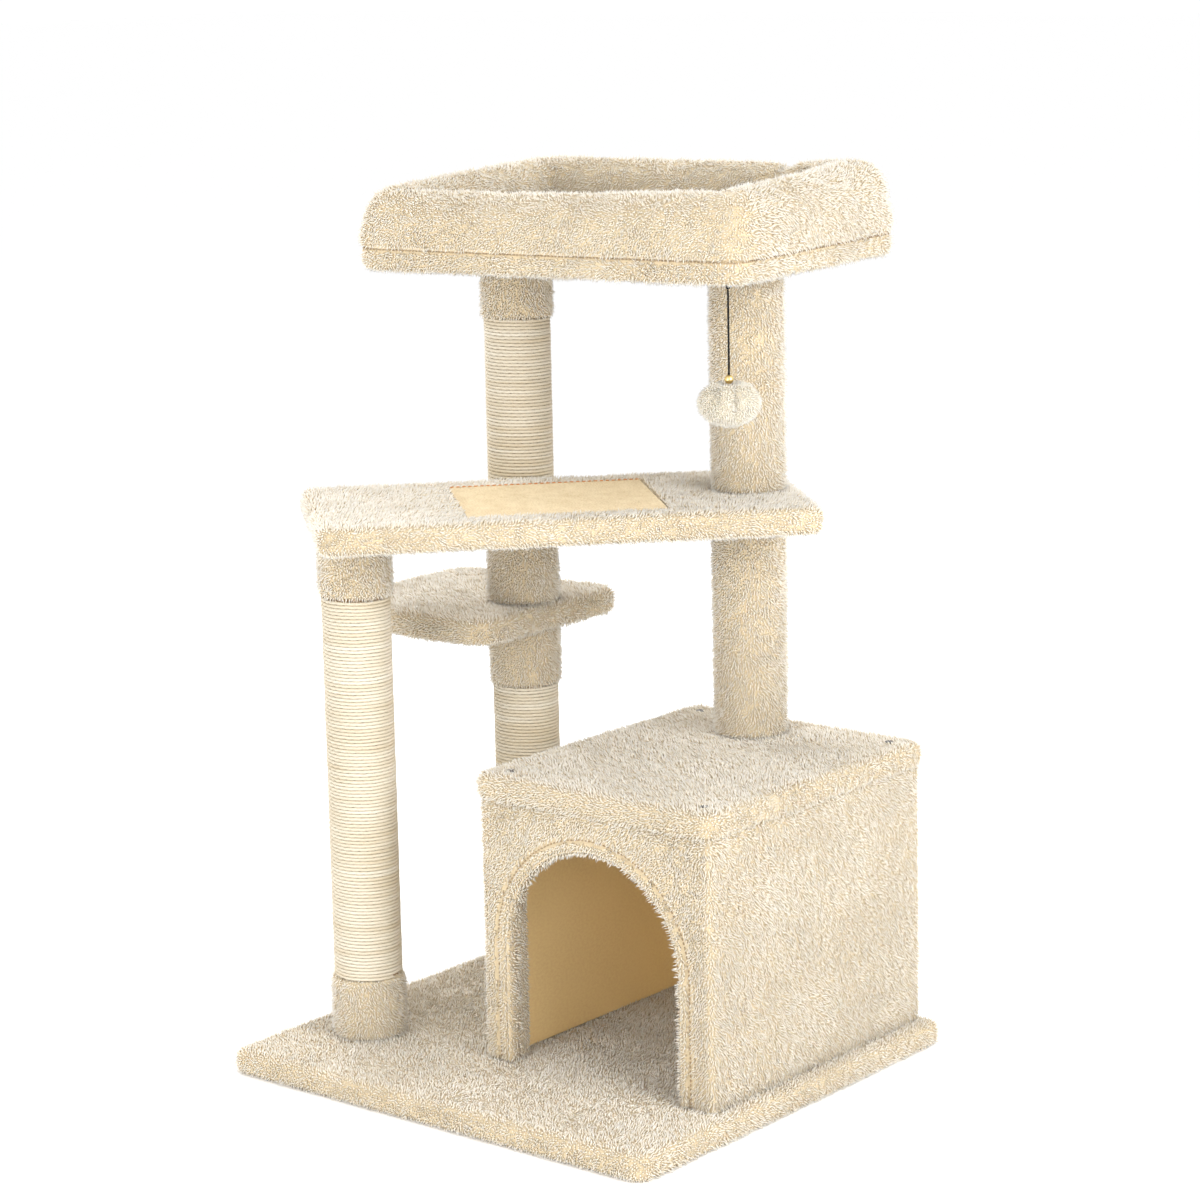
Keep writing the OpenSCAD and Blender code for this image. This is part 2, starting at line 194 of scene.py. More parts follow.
elastic, tree, shader = blank_material("black_elastic")
where = add(tree, "ShaderNodeTexCoord")
braid = add(tree, "ShaderNodeTexWave",
            {"Vector": where.outputs["Object"], "Scale": 260.0, "Distortion": 6.0},
            bands_direction="DIAGONAL")
tint = add(tree, "ShaderNodeMix", {0: braid.outputs["Fac"]}, data_type="RGBA")
tint.inputs[6].default_value = (0.003, 0.003, 0.003, 1)
tint.inputs[7].default_value = (0.012, 0.012, 0.012, 1)
bump = add(tree, "ShaderNodeBump", {"Height": braid.outputs["Fac"], "Strength": 0.5, "Distance": 0.0003})
tree.links.new(tint.outputs[2], shader.inputs["Base Color"])
tree.links.new(bump.outputs["Normal"], shader.inputs["Normal"])
shader.inputs["Roughness"].default_value = 0.85
shader.inputs["Specular IOR Level"].default_value = 0.2
cord.data.materials.append(elastic)
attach(cord, "toy")
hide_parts("toy_cord")

# --- Boards, tubes and fastenings -------------------------------------------------------------
# Particle board and pine battens, wound cardboard tubes with wooden plugs, zinc-plated bolts,
# studs and screws, and pressed-in inserts. Covers hide most of them; the condo's inside is bare.
board_light = (0.95, 0.73, 0.37, 1)
board_dark = (0.86, 0.62, 0.30, 1)


def noise(tree, vector, scale, detail=2.0, stretch=None, rough=0.5):
    """Noise on a vector, stretched along its axes if asked, from 0 to 1."""
    if stretch:
        vector = add(tree, "ShaderNodeMapping", {"Vector": vector, "Scale": stretch}).outputs["Vector"]
    made = add(tree, "ShaderNodeTexNoise",
               {"Vector": vector, "Scale": scale, "Detail": detail, "Roughness": rough})
    return made.outputs[0]


def blend(tree, factor, first, second):
    """A colour between two, each a colour or a socket."""
    made = add(tree, "ShaderNodeMix", {0: factor}, data_type="RGBA")
    for place, value in ((6, first), (7, second)):
        if isinstance(value, bpy.types.NodeSocket):
            tree.links.new(value, made.inputs[place])
        else:
            made.inputs[place].default_value = value
    return made.outputs[2]


def steepen(tree, value, low, high):
    """A value from low to high, spread to 0 to 1."""
    made = add(tree, "ShaderNodeMapRange", {"Value": value, "From Min": low, "From Max": high})
    return made.outputs[0]


def roughen(tree, shader, height, strength, distance):
    bump = add(tree, "ShaderNodeBump", {"Height": height, "Strength": strength, "Distance": distance})
    tree.links.new(bump.outputs["Normal"], shader.inputs["Normal"])


def start(name):
    """A new finish: its material, tree and shader, and the place on the piece."""
    material, tree, shader = blank_material(name)
    return material, tree, shader, add(tree, "ShaderNodeTexCoord").outputs["Object"]


def matt(name, scale, detail, dark, light, roughness, stretch=None, bump=None):
    """A dull finish: fine noise mixes two tones, and raises the surface where bump is given."""
    material, tree, shader, spot = start(name)
    grain = noise(tree, spot, scale, detail, stretch)
    tree.links.new(blend(tree, grain, dark, light), shader.inputs["Base Color"])
    if bump:
        roughen(tree, shader, grain, *bump)
    shader.inputs["Roughness"].default_value = roughness
    return material


def plated(name, scale, dark, light, smooth, dull):
    """Plated metal: two tones of plating, with a roughness that follows them."""
    material, tree, shader, spot = start(name)
    tone = noise(tree, spot, scale, 3.0)
    tree.links.new(blend(tree, tone, dark, light), shader.inputs["Base Color"])
    tree.links.new(steepen(tree, tone, smooth, dull), shader.inputs["Roughness"])
    shader.inputs["Metallic"].default_value = 1.0
    return material


def dress(material, *names):
    """Gives CAD pieces a material."""
    for name in names:
        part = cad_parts[name]
        if not part.material_slots:
            part.data.materials.append(material)
        for place in part.material_slots:
            place.material = material


particle_board, tree, shader, spot = start("particle_board")
chips = noise(tree, spot, 260.0, 3.0, (1.0, 1.0, 1.6))
cloud = noise(tree, spot, 14.0, 2.0)
mottle = blend(tree, steepen(tree, chips, 0.38, 0.62), board_dark, board_light)
tree.links.new(blend(tree, cloud, mottle, board_light), shader.inputs["Base Color"])
roughen(tree, shader, chips, 0.25, 0.0004)
shader.inputs["Roughness"].default_value = 0.75
dress(particle_board, "base_board", "condo_front_panel", "condo_left_panel", "condo_right_panel",
      "condo_back_panel", "condo_lid_board", "shelf_board", "plank_board", "perch_board")

pine = matt("pine", 90.0, 4.0, (0.45, 0.28, 0.13, 1), (0.68, 0.49, 0.27, 1), 0.6,
            stretch=(1.0, 1.0, 0.08), bump=(0.2, 0.0003))
posts = ("front_post", "back_post", "back_top_post", "right_post", "right_top_post")
dress(pine, "condo_battens", *[post + "_plugs" for post in posts])

cardboard, tree, shader, spot = start("wound_cardboard")
wind = add(tree, "ShaderNodeTexWave", {"Vector": spot, "Scale": 9.0, "Distortion": 1.5},
           bands_direction="Z")
fibre = noise(tree, spot, 400.0, 3.0, (1.0, 1.0, 0.3))
paper = blend(tree, fibre, (0.30, 0.19, 0.10, 1), (0.46, 0.31, 0.17, 1))
paper = blend(tree, steepen(tree, wind.outputs["Fac"], 0.0, 6.0), paper, (0.2, 0.12, 0.06, 1))
tree.links.new(paper, shader.inputs["Base Color"])
roughen(tree, shader, fibre, 0.2, 0.0002)
shader.inputs["Roughness"].default_value = 0.85
dress(cardboard, *[post + "_tube" for post in posts])

zinc = plated("zinc_plate", 900.0, (0.42, 0.43, 0.45, 1), (0.62, 0.63, 0.65, 1), -0.6, 1.6)
dress(zinc, "base_bolts", "base_screws", "lid_bolt", "joining_studs", "perch_bolts",
      "toy_staple", "bell_pellet")
black_zinc = plated("black_zinc", 700.0, (0.09, 0.085, 0.08, 1), (0.20, 0.19, 0.18, 1), -0.8, 1.6)
dress(black_zinc, "lid_screws")
passivated = plated("yellow_passivated", 300.0, (0.55, 0.38, 0.14, 1), (0.66, 0.55, 0.30, 1), -0.5, 1.8)
dress(passivated, "post_inserts")
felt = matt("liner_felt", 700.0, 4.0, (0.045, 0.042, 0.04, 1), (0.11, 0.10, 0.095, 1), 0.95,
            bump=(0.4, 0.0004))
dress(felt, "base_liner")

# --- Plush on the base ------------------------------------------------------------------------
# Short cream plush glued over the base board and turned under its edge. Its pile is a dense
# growth of small soft tufts that lean with the nap.
pile_rise = 0.0035
board_rise = 0.0025
edge_round = 0.0075
base_corner = 0.015
base_hem = 0.028
under_cloth = 0.003
tuft_spacing = 0.0019
tuft_length = 0.0062
tuft_width = 0.0024
nap_wander = 2.0
tuft_curl = 2.5
tuft_curls = 115.0
tuft_sunk = 0.12
pile_tip = (0.945, 0.91, 0.845, 1)
# the roots' colour: the backing's own tan, darkened as painted shade between the tufts
pile_root_shade = (0.61, 0.50, 0.335, 1)


def plush_material(name, tip, root_shade):
    """Cream plush: roots darker with painted shade, and patches lighter and darker with painted sheen and
    shade where the nap lies another way.
    """
    material, tree, shader, spot = start(name)
    height = add(tree, "ShaderNodeAttribute", attribute_name="tip").outputs["Fac"]
    own = add(tree, "ShaderNodeAttribute", attribute_name="tuft").outputs["Fac"]
    nap_sheen_shade = noise(tree, spot, 9.0, 4.0, (1.0, 1.0, 1.4), 0.6)
    fleck = noise(tree, spot, 420.0, 2.0)
    pale = tuple(min(1.0, 1.05 * c) for c in tip[:3]) + (1,)
    deep = tuple(0.85 * c for c in tip[:3]) + (1,)
    # painted sheen and shade: patches a little lighter and darker where the nap lies another way
    face = blend(tree, steepen(tree, nap_sheen_shade, 0.38, 0.60), deep, pale)
    face = blend(tree, steepen(tree, own, -0.6, 3.0), face, root_shade)
    face = blend(tree, steepen(tree, fleck, 0.5, 1.6), face, root_shade)
    # painted shade: each tuft darkens towards the root colour near the cloth, and the bare cloth takes the
    # root colour
    rise = steepen(tree, height, 0.02, 0.55)
    tree.links.new(blend(tree, rise, root_shade, face), shader.inputs["Base Color"])
    roughen(tree, shader, fleck, 0.3, 0.0006)
    shader.inputs["Roughness"].default_value = 0.9
    shader.inputs["Specular IOR Level"].default_value = 0.2
    shader.inputs["Sheen Weight"].default_value = 0.3
    shader.inputs["Sheen Roughness"].default_value = 0.5
    shader.inputs["Subsurface Weight"].default_value = 0.35
    shader.inputs["Subsurface Radius"].default_value = (1.0, 0.8, 0.6)
    shader.inputs["Subsurface Scale"].default_value = 0.002
    return material


def new_tree(name, result, **inputs):
    """A tree of geometry nodes, and its named inputs, listed by their kind."""
    tree = bpy.data.node_groups.new(name, "GeometryNodeTree")
    for kind, labels in inputs.items():
        for label in labels.split(", "):
            tree.interface.new_socket(label, in_out="INPUT", socket_type="NodeSocket" + kind)
    tree.interface.new_socket(result, in_out="OUTPUT", socket_type="NodeSocketGeometry")
    return tree, tree.nodes.new("NodeGroupInput").outputs


def sums(tree):
    """Functions that add sums to a tree: on numbers, of two vectors, and a vector times a number."""

    def maths(operation, first, second=0.0):
        return add(tree, "ShaderNodeMath", {0: first, 1: second}, operation=operation).outputs[0]

    def summed(first, second):
        return add(tree, "ShaderNodeVectorMath", {0: first, 1: second}, operation="ADD").outputs[0]

    def scaled(vector, by):
        return add(tree, "ShaderNodeVectorMath", {0: vector, "Scale": by}, operation="SCALE").outputs[0]

    return maths, summed, scaled


def hand_over(tree, geometry, given, result):
    """Ends a tree: smooth, with its copies made real, and in the finish that it was given."""
    soft = add(tree, "GeometryNodeSetShadeSmooth", {"Geometry": geometry})
    real = add(tree, "GeometryNodeRealizeInstances", {"Geometry": soft.outputs[0]})
    worn = add(tree, "GeometryNodeSetMaterial", {"Geometry": real.outputs[0], "Material": given["Finish"]})
    add(tree, "NodeGroupOutput", {result: worn.outputs[0]})


def pile_tree():
    """Grows tufts over a cloth: closed three-sided spikes, spread evenly, leaning with the nap."""
    tree, given = new_tree("plush_pile", "Plush", Geometry="Cloth",
                           Float="Spacing, Length, Width, Lean, Wander, Curl, Curls, Sunk",
                           Vector="Nap", Int="Seed", Material="Finish")
    maths, summed, scaled = sums(tree)

    def chance(low, high, salt):
        seed = maths("ADD", given["Seed"], float(salt))
        made = add(tree, "FunctionNodeRandomValue", {"Seed": seed}, data_type="FLOAT")
        made.inputs[2].default_value = low
        made.inputs[3].default_value = high
        return made.outputs[1]

    room = maths("MULTIPLY", given["Spacing"], given["Spacing"])
    where = add(tree, "GeometryNodeInputNamedAttribute", {"Name": "pile"}, data_type="FLOAT")
    spread = add(tree, "GeometryNodeDistributePointsOnFaces",
                 {"Mesh": given["Cloth"], "Distance Min": given["Spacing"],
                  "Density Max": maths("DIVIDE", 3.2, room), "Density Factor": where.outputs[0],
                  "Seed": given["Seed"]}, distribute_method="POISSON")
    place = tree.nodes.new("GeometryNodeInputPosition").outputs[0]
    drift = add(tree, "ShaderNodeTexNoise", {"Vector": place, "Scale": 16.0, "Detail": 2.0})
    swirl = summed(drift.outputs[1], (-0.5, -0.5, -0.5))
    jitter = add(tree, "FunctionNodeRandomValue", {"Seed": given["Seed"]}, data_type="FLOAT_VECTOR")
    jitter.inputs[0].default_value = (-0.2, -0.2, -0.2)
    jitter.inputs[1].default_value = (0.2, 0.2, 0.2)
    curls = add(tree, "ShaderNodeTexNoise", {"Vector": place, "Scale": given["Curls"], "Detail": 1.0})
    curl = scaled(summed(curls.outputs[1], (-0.5, -0.5, -0.5)), given["Curl"])
    lean = scaled(summed(given["Nap"], scaled(swirl, given["Wander"])), given["Lean"])
    towards = summed(spread.outputs["Normal"], summed(summed(lean, curl), jitter.outputs[0]))
    leaning = add(tree, "FunctionNodeAlignRotationToVector", {"Vector": towards}, axis="Z")
    spin = add(tree, "FunctionNodeAxisAngleToRotation",
               {"Axis": (0.0, 0.0, 1.0), "Angle": chance(0.0, 6.283, 5)})
    turn = add(tree, "FunctionNodeRotateRotation",
               {"Rotation": leaning.outputs[0], "Rotate By": spin.outputs[0]}, rotation_space="LOCAL")
    clump = maths("ADD", maths("MULTIPLY", curls.outputs[0], 0.7), 0.35)
    clump = maths("ADD", maths("MULTIPLY", drift.outputs[0], 0.6), clump)
    wide = maths("MULTIPLY", given["Width"], chance(0.75, 1.3, 11))
    tall = maths("MULTIPLY", maths("MULTIPLY", given["Length"], clump), chance(0.7, 1.15, 23))
    size = add(tree, "ShaderNodeCombineXYZ", {0: wide, 1: wide, 2: tall})
    cone = add(tree, "GeometryNodeMeshCone",
               {"Vertices": 3, "Radius Top": 0.0, "Radius Bottom": 0.5, "Depth": 1.0}, fill_type="NGON")
    down = add(tree, "ShaderNodeCombineXYZ", {2: maths("MULTIPLY", given["Sunk"], -1.0)})
    sunk = add(tree, "GeometryNodeTransform",
               {"Geometry": cone.outputs["Mesh"], "Translation": down.outputs[0]})
    up = add(tree, "ShaderNodeSeparateXYZ", {0: place})
    marked = add(tree, "GeometryNodeStoreNamedAttribute",
                 {"Geometry": sunk.outputs[0], "Name": "tip", "Value": up.outputs[2]},
                 data_type="FLOAT", domain="POINT")
    tufts = add(tree, "GeometryNodeInstanceOnPoints",
                {"Points": spread.outputs["Points"], "Instance": marked.outputs[0],
                 "Rotation": turn.outputs[0], "Scale": size.outputs[0]})
    toned = add(tree, "GeometryNodeStoreNamedAttribute",
                {"Geometry": tufts.outputs[0], "Name": "tuft", "Value": chance(0.0, 1.0, 37)},
                data_type="FLOAT", domain="INSTANCE")
    both = add(tree, "GeometryNodeJoinGeometry")
    tree.links.new(toned.outputs[0], both.inputs[0])
    tree.links.new(given["Cloth"], both.inputs[0])
    hand_over(tree, both.outputs[0], given, "Plush")
    return tree


def lay_out(mesh):
    """A map of the piece's surface: each face lies flat, seen from the side it faces most."""
    places = np.empty(len(mesh.vertices) * 3)
    mesh.vertices.foreach_get("co", places)
    places = places.reshape(-1, 3)
    normals = np.empty(len(mesh.polygons) * 3)
    mesh.polygons.foreach_get("normal", normals)
    normals = normals.reshape(-1, 3)
    corners = np.empty(len(mesh.polygons), dtype=np.int64)
    mesh.polygons.foreach_get("loop_total", corners)
    at = np.empty(len(mesh.loops), dtype=np.int64)
    mesh.loops.foreach_get("vertex_index", at)
    axis = np.argmax(np.abs(normals), axis=1)
    facing = np.take_along_axis(normals, axis[:, None], axis=1)[:, 0] > 0
    axis, facing = np.repeat(axis, corners), np.repeat(facing, corners)
    low, high = places.min(axis=0), places.max(axis=0)
    share = 0.01 + 0.98 * (places - low) / np.maximum(high - low, 1e-6)
    rows = np.arange(len(at))
    across = (axis + share[at][rows, (axis + 1) % 3]) / 3
    up = (facing + share[at][rows, (axis + 2) % 3]) / 2
    layer = mesh.uv_layers.new(name="OFBake")
    layer.data.foreach_set("uv", np.stack([across, up], axis=1).ravel())


def evaluated(piece, tree, values):
    """Runs a node tree on a piece and leaves the result as its plain mesh."""
    modifier = piece.modifiers.new(tree.name, "NODES")
    modifier.node_group = tree
    for label, value in values.items():
        modifier[tree.interface.items_tree[label].identifier] = value
    graph = bpy.context.evaluated_depsgraph_get()
    plain = bpy.data.meshes.new_from_object(piece.evaluated_get(graph))
    piece.modifiers.clear()
    old, piece.data = piece.data, plain
    plain.name = piece.name
    bpy.data.meshes.remove(old)
    lay_out(plain)
    return piece


pile = pile_tree()


def grow(name, mesh, finish, nap=(0, 0, -0.6), seed=1, **changes):
    """A cloth mesh with pile on it."""
    values = {"Spacing": tuft_spacing, "Length": tuft_length, "Width": tuft_width, "Lean": 1.0,
              "Wander": nap_wander, "Curl": tuft_curl, "Curls": tuft_curls, "Sunk": tuft_sunk,
              "Nap": nap, "Seed": seed, "Finish": finish}
    values.update(changes)
    return evaluated(new_object(name, mesh), pile, values)


def outline(w, d, r, z, inset=0.0, at=(0, 0), turn=0.0, corner=6, side=14):
    """A ring round a rectangle with rounded corners, always with the same number of points."""
    half_w, half_d, r = w / 2 - inset, d / 2 - inset, max(r - inset, 0.0006)
    right, far = half_w - r, half_d - r
    middles = [(right, far), (-right, far), (-right, -far), (right, -far)]
    arcs = []
    for k, (cx, cy) in enumerate(middles):
        angles = [math.pi / 2 * (k + i / corner) for i in range(corner + 1)]
        arcs.append([(cx + r * math.cos(a), cy + r * math.sin(a)) for a in angles])
    flat = []
    for k, arc in enumerate(arcs):
        (ax, ay), (bx, by) = arc[-1], arcs[(k + 1) % 4][0]
        flat += arc + [(ax + (bx - ax) * i / side, ay + (by - ay) * i / side) for i in range(1, side)]
    c, s = math.cos(turn), math.sin(turn)
    return [(at[0] + x * c - y * s, at[1] + x * s + y * c, z) for x, y in flat]


def round_up(z0, z1, r, steps=4):
    """(inset, z) from a lower edge to an upper one, both rounded."""
    quarter = [math.pi / 2 * k / steps for k in range(steps + 1)]
    low = [(r - r * math.sin(t), z0 + r - r * math.cos(t)) for t in quarter]
    high = [(r - r * math.cos(t), z1 - r + r * math.sin(t)) for t in quarter]
    return low + high


def mark_pile(mesh, amounts):
    """Says how much pile each face of a mesh has."""
    layer = mesh.attributes.get("pile") or mesh.attributes.new("pile", "FLOAT", "FACE")
    layer.data.foreach_set("value", amounts)


def skin(name, rings, bands, ends=(0.0, 1.0), ring_closed=False):
    """A closed cloth through rings of points. bands and ends say how much pile each part has."""
    sides = len(rings[0])
    faces = tube_faces(len(rings), sides)
    if ring_closed:
        last = (len(rings) - 1) * sides
        faces = faces[:-2]
        faces += [(last + i, last + (i + 1) % sides, (i + 1) % sides, i) for i in range(sides)]
    mesh = make_mesh(name, [p for ring in rings for p in ring], faces)
    amount = [value for value in bands for _ in range(sides)]
    amount += [ends[0]] * sides if ring_closed else list(ends)
    mark_pile(mesh, amount)
    return mesh


def span(node):
    """A CAD piece's middle, size, and lowest and highest z."""
    low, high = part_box(node)
    middle = [(a + b) / 2 for a, b in zip(low, high)]
    return middle, [b - a for a, b in zip(low, high)], low[2], high[2]


def cover(name, w, d, r, z0, z1, at, turn=0.0, below=1.0, top=None, bottom=None):
    """Plush round a board: rounded edges, and further rings on the top and the underside."""
    w, d, r = w - 2 * board_rise, d - 2 * board_rise, r - board_rise / 2
    rings = [outline(w, d, r, z, inset, at, turn) for inset, z in round_up(z0, z1, edge_round)]
    bands = [1.0] * (len(rings) - 1)
    bands[0] = below
    for ring, amount in top or []:
        rings.append(ring)
        bands.append(amount)
    for ring, amount in bottom or []:
        rings.insert(0, ring)
        bands.insert(0, amount)
    return skin(name, rings, bands, (0.0 if bottom else below, 0.0 if top else 1.0))


cream_plush = plush_material("cream_plush", pile_tip, pile_root_shade)
middle, size, low, high = span("base_cover")
hem = [(outline(size[0], size[1], base_corner, low, base_hem, middle), 0.0),
       (outline(size[0], size[1], base_corner, low + under_cloth, base_hem, middle), 0.0)]
cloth = cover("base_plush", size[0], size[1], base_corner, low, high - board_rise, middle,
              below=0.0, bottom=hem)
piece = grow("base_plush", cloth, cream_plush, nap=(0.35, -0.25, 0), seed=3)
for point in piece.data.vertices:
    point.co.z = max(point.co.z, low)
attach(piece, "tree")
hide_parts("base_cover")

# --- Plush on the condo's walls ---------------------------------------------------------------
# One length of the same plush wrapped round the four walls and stapled. The doorway is cut out
# of the front, with a stitched line 10 mm from its edge.
cloth_t = 0.0012
wall_round = 0.004
door_rows = 18
door_steps = 60
door_lining = 0.003
corner_steps = 4


def thick(name, points, faces, pile_on, t):
    """A sheet given thickness t behind its face, as a closed cloth with pile on the face."""
    sheet = bmesh.new()
    corners = [sheet.verts.new(p) for p in points]
    layer = sheet.faces.layers.float.new("pile")
    for face, amount in zip(faces, pile_on):
        made = sheet.faces.new([corners[i] for i in face])
        made[layer] = amount
    bmesh.ops.remove_doubles(sheet, verts=sheet.verts, dist=0.00005)
    sheet.normal_update()
    sheet.verts.ensure_lookup_table()
    behind = {v: sheet.verts.new(v.co - v.normal * t) for v in list(sheet.verts)}
    edges = [e for e in sheet.edges if len(e.link_faces) == 1]
    for face in list(sheet.faces):
        made = sheet.faces.new([behind[v] for v in reversed(face.verts)])
        made[layer] = 0.0
    for edge in edges:
        loop_here = edge.link_loops[0]
        a, b = loop_here.vert, loop_here.link_loop_next.vert
        sheet.faces.new((b, a, behind[a], behind[b]))[layer] = 0.0
    mesh = bpy.data.meshes.new(name)
    sheet.to_mesh(mesh)
    sheet.free()
    mesh.polygons.foreach_set("use_smooth", [True] * len(mesh.polygons))
    return mesh


wall_low, wall_high = [Vector(p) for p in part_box("condo_wall_cover")]
door_low, door_high = [Vector(p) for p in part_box("doorway_binding")]
door_mid = (door_low.x + door_high.x) / 2
door_half = (door_high.x - door_low.x) / 2
door_arch = door_high.z - door_half
door_foot = wall_low.z


def door_path(reach, steps):
    """Points up, over and down the doorway at a distance outside its edge, in x and z."""
    radius = door_half + reach
    jamb = door_arch - door_foot
    whole = 2 * jamb + math.pi * door_half
    path = []
    for k in range(steps + 1):
        along = whole * k / steps
        if along < jamb:
            path.append((door_mid - radius, door_foot + along))
        elif along > whole - jamb:
            path.append((door_mid + radius, door_foot + whole - along))
        else:
            a = math.pi - (along - jamb) / door_half
            path.append((door_mid + radius * math.cos(a), door_arch + radius * math.sin(a)))
    return path


front = wall_low.y + pile_rise
left, right = wall_low.x + pile_rise, wall_high.x - pile_rise
back = wall_high.y - pile_rise
# how far each row lies outside the doorway and behind the face, and the pile on the way to the next
rows = [(0.0, 0.001, 1.0), (0.003, -0.001, 1.0), (0.0062, -0.0008, 0.3), (0.0078, 0.0012, 0.0),
        (0.0122, 0.0012, 0.3), (0.0138, -0.0003, 1.0), (0.018, 0.0, 1.0)]
row_pile = [amount for _, _, amount in rows] + [1.0, 1.0]
rise = wall_high.z - wall_low.z
run = right - left - 2 * wall_round
face_edge = []
for k in range(2 * door_rows + door_steps + 1):
    if k <= door_rows:
        face_edge.append((left + wall_round, wall_low.z + rise * k / door_rows))
    elif k <= door_rows + door_steps:
        face_edge.append((left + wall_round + run * (k - door_rows) / door_steps, wall_high.z))
    else:
        down = rise * (k - door_rows - door_steps) / door_rows
        face_edge.append((right - wall_round, wall_high.z - down))
count = len(face_edge)
lines = [[(x, front + sink, z) for x, z in door_path(reach, count - 1)] for reach, sink, _ in rows]
inner = lines[-1]
for share in (0.33, 0.66, 1.0):
    lines.append([(p[0] + (q[0] - p[0]) * share, front, p[2] + (q[1] - p[2]) * share)
                  for p, q in zip(inner, face_edge)])
points = [p for line in lines for p in line]
faces, amounts = [], []
for k in range(len(lines) - 1):
    for i in range(count - 1):
        a, b = k * count + i, (k + 1) * count + i
        faces.append((a, a + 1, b + 1, b))
        amounts.append(row_pile[k])
plan = []
corners = ((left, front, 1.5), (left, back, 1.0), (right, back, 0.5), (right, front, 0.0))
for corner_x, corner_y, half_turns in corners:
    middle_x = corner_x + wall_round * (1 if corner_x == left else -1)
    middle_y = corner_y + wall_round * (1 if corner_y == front else -1)
    for k in range(corner_steps + 1):
        a = math.pi * half_turns - math.pi / 2 * k / corner_steps
        plan.append((middle_x + wall_round * math.cos(a), middle_y + wall_round * math.sin(a)))
first = len(points)
wide = len(plan)
for k in range(door_rows + 1):
    points += [(x, y, wall_low.z + rise * k / door_rows) for x, y in plan]
for k in range(door_rows):
    for i in range(wide - 1):
        a, b = first + k * wide + i, first + (k + 1) * wide + i
        faces.append((a, b, b + 1, a + 1))
        amounts.append(1.0)
cloth = thick("condo_wall_plush", points, faces, amounts, cloth_t)
piece = grow("condo_wall_plush", cloth, cream_plush, nap=(0, 0, -0.75), seed=7)
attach(piece, "tree")
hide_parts("condo_wall_cover")

# --- Doorway edge -----------------------------------------------------------------------------
# The plush is turned in over the edge of the front board, so that its pile makes a soft fringe
# all round the doorway.
fringe_length = 0.0078
fringe_spacing = 0.0021
fringe_steps = 72
fringe_front = door_low.y + pile_rise
fringe_depth = door_high.y - fringe_front
# the lip's section: how far each corner lies towards the board and towards the back, and the pile
lip = [(0.0, 0.25, 1.0), (0.0, 0.75, 1.0), (0.25, 1.0, 0.0),
       (1.0, 1.0, 0.0), (1.0, 0.0, 0.0), (0.55, 0.0, 1.0)]
rings = []
for share, depth, _ in lip:
    line = door_path(door_lining * (share - 1.0), fringe_steps)
    rings.append([(x, fringe_front + fringe_depth * depth, z) for x, z in line])
points = [ring[k] for k in range(fringe_steps + 1) for ring in rings]
cloth = make_mesh("doorway_fringe", points, tube_faces(fringe_steps + 1, len(lip)))
mark_pile(cloth, [amount for _, _, amount in lip] * fringe_steps + [0.0, 0.0])
checked = bmesh.new()
checked.from_mesh(cloth)
bmesh.ops.recalc_face_normals(checked, faces=checked.faces)
checked.to_mesh(cloth)
checked.free()
piece = grow("doorway_fringe", cloth, cream_plush, nap=(0, -0.5, 0), seed=11,
             Spacing=fringe_spacing, Length=fringe_length)
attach(piece, "tree")
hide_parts("doorway_binding")

# --- Stitches round the doorway ---------------------------------------------------------------
# Twin-needle thread that holds the turned-in plush down, sunk between the tufts.
stitch_inset = 0.010
stitch_pitch = 0.0045
stitch_r = 0.0008
stitch_sunk = 0.0002
share_sewn = 0.36
seam_steps = 160


def stitch_tree():
    """Short capsules of thread along a path of edges."""
    tree, given = new_tree("stitches", "Thread", Geometry="Path",
                           Float="Pitch, Thread radius, Share sewn", Material="Finish")
    maths, _, _ = sums(tree)
    line = add(tree, "GeometryNodeMeshToCurve", {0: given["Path"]})
    dots = add(tree, "GeometryNodeResampleCurve",
               {"Curve": line.outputs[0], "Length": given["Pitch"]}, mode="LENGTH")
    along = tree.nodes.new("GeometryNodeInputTangent").outputs[0]
    aligned = add(tree, "FunctionNodeAlignRotationToVector", {"Vector": along}, axis="Z")
    ball = add(tree, "GeometryNodeMeshIcoSphere", {"Radius": 1.0, "Subdivisions": 2})
    size = add(tree, "ShaderNodeCombineXYZ",
               {0: given["Thread radius"], 1: given["Thread radius"],
                2: maths("MULTIPLY", given["Pitch"], given["Share sewn"])})
    placed = add(tree, "GeometryNodeInstanceOnPoints",
                 {"Points": dots.outputs[0], "Instance": ball.outputs[0], "Rotation": aligned.outputs[0],
                  "Scale": size.outputs[0]})
    hand_over(tree, placed.outputs[0], given, "Thread")
    return tree


stitches = stitch_tree()
thread = matt("tan_thread", 1500.0, 2.0, (0.30, 0.22, 0.13, 1), (0.44, 0.34, 0.22, 1), 0.7)


def sew(name, path, finish, closed=False, pitch=stitch_pitch, radius=stitch_r):
    """A row of stitches along points."""
    mesh = bpy.data.meshes.new(name)
    links = [(i, i + 1) for i in range(len(path) - 1)] + ([(len(path) - 1, 0)] if closed else [])
    mesh.from_pydata([tuple(p) for p in path], links, [])
    return evaluated(new_object(name, mesh), stitches,
                     {"Pitch": pitch, "Thread radius": radius, "Share sewn": share_sewn, "Finish": finish})


seam = [(x, front + stitch_sunk, z) for x, z in door_path(stitch_inset, seam_steps)]
piece = sew("doorway_stitches", seam, thread)
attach(piece, "tree")

